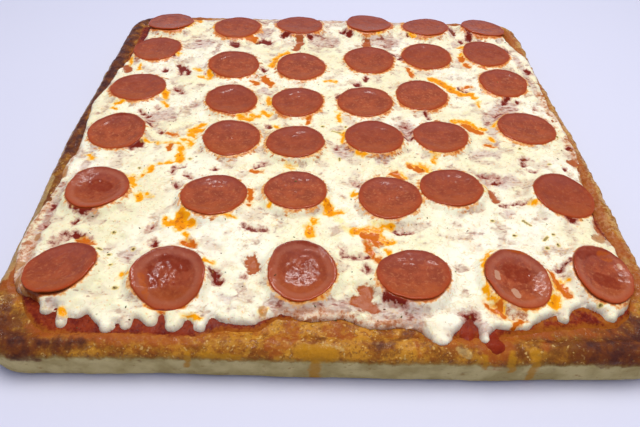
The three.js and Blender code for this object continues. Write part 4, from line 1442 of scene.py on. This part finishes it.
pepperoni = pepperoni_finish()
slice_pieces = []
for s in slices:
    points, faces, rim, up_side = slice_points(s)
    px, py = points[:, 0], points[:, 1]
    fat_in_cup = 0.55 * between(rim, 0.75, 0.2) * between(s["curl"], 1.4, 3)
    slice_masks = {
        "rim": rim,
        "own": np.full(len(rim), 0.5 - 0.5 * math.sin(5 * s["turn"])),
        "below": up_side,
        # how far towards the back, which places the painted sheen and the painted shade at the back rim
        "far": (py - s["centre"][1]) / s["radius"],
        "band": between(rim, 0.6, 0.82) * between(rim, 1.0, 0.94) * between(s["curl"], 1.2, 2.6),
        "pool": np.maximum(fat_in_cup, painted(px, py, POOLS, -1.5, 1)),
        "light": painted(px, py, LIGHT_SPOTS, -1, 1) * (up_side > 0.5),
        "orange": painted(px, py, ORANGE_SPOTS, -1.5, 1),
    }
    name = "slice_" + s["name"][len("pepperoni_") :]
    piece = make_piece(name, points, faces, pepperoni, slice_masks, [s["name"]])
    slice_pieces.append(piece)

# %% [markdown]
# ## Dried herbs and crumbs
# A few dark green and brown flecks lie on the cheese and on the rim. Each is a thin flake, at
# most 2.6 mm long. They are one piece: a handful of points per flake, bent a little, turned at
# random, and set down on whatever surface is highest there. The scene casts a ray down onto the
# pieces to find that surface, as a finger would.

# %% Flecks
def land(x, y, pieces):
    """Height of the highest of the pieces under a place, in mm, and its normal."""
    start, down = Vector((x * MM + MIDDLE[0], y * MM + MIDDLE[1], 0.2)), Vector((0, 0, -1))
    hits = [piece.ray_cast(start, down) for piece in pieces]
    hits = [(hit[1].z, hit[2]) for hit in hits if hit[0]]
    height, normal = max(hits, key=lambda hit: hit[0])
    return height / MM, np.array(normal)


def fleck_piece(count=150, corners=6, thick=0.16):
    dice = np.random.default_rng(211)
    spots = [(x0, y0) for x0, y0, *_ in SPECKS]
    while len(spots) < count:
        x, y = dice.uniform(-186, 186, 2)
        in_the_open = all(np.hypot(x - s["centre"][0], y - s["centre"][1]) > s["radius"] + 1 for s in slices)
        if in_the_open or dice.uniform() < 0.1:
            spots.append((x, y))
    points, faces, tones = [], [], []
    angle = np.linspace(0, 2 * math.pi, corners + 1)[:-1]
    bpy.context.view_layer.update()
    for x, y in spots:
        height, normal = land(x, y, [crust, sauce, cheese] + slice_pieces)
        long, wide, turn = dice.uniform(0.45, 1.05), dice.uniform(0.25, 0.5), dice.uniform(0, math.pi)
        u = long * np.cos(angle) * dice.uniform(0.75, 1.2, corners)
        v = wide * np.sin(angle) * dice.uniform(0.7, 1.2, corners)
        across = np.cross([-np.sin(turn), np.cos(turn), 0], normal)
        across /= np.linalg.norm(across)
        away = np.cross(normal, across)
        arch = 0.22 - 0.16 * (u / long) ** 2
        ring = np.array([x, y, height]) + u[:, None] * across + v[:, None] * away
        base = len(points)
        points += (ring + arch[:, None] * normal).tolist()
        points += (ring + (arch[:, None] - thick) * normal).tolist()
        over = base + np.arange(corners)
        below, after = over + corners, np.roll(over, -1)
        faces += [over.tolist(), below[::-1].tolist()]
        faces += np.stack([over, below, after + corners, after], 1).tolist()
        tones += [dice.uniform()] * 2 * corners
    board = Board("herb_flecks")
    tone = board.sum(board.mask("tone"), board.times(board.noise(0.8, 2, 40.0), 0.3))
    base = board.mix(board.ramp(tone, 0.3, 0.8), "#5E5A24", "#6A4420")
    board.bump(board.noise(0.5, 2, 41.0), 0.1)
    finish = board.finish(base, 0.6, Specular_IOR_Level=0.3)
    return make_piece("herb_flecks", points, faces, finish, {"tone": tones})


flecks = fleck_piece()

# %% [markdown]
# ## Does it still fit the frame?
# All pieces should fill the same box as the plain solids did, because other people will pick
# this pizza up, stack it and place it by those solids. The last lines print the widths of both
# boxes side by side.

# %% Compare the boxes
seen_low, seen_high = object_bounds()
sizes = {"cad": [list(cad_low), list(cad_high)], "visual": [list(seen_low), list(seen_high)]}
for axis in range(3):
    wide = [round((pair[1][axis] - pair[0][axis]) / MM, 1) for pair in sizes.values()]
    print("xyz"[axis], "frame and pieces:", wide, "mm")
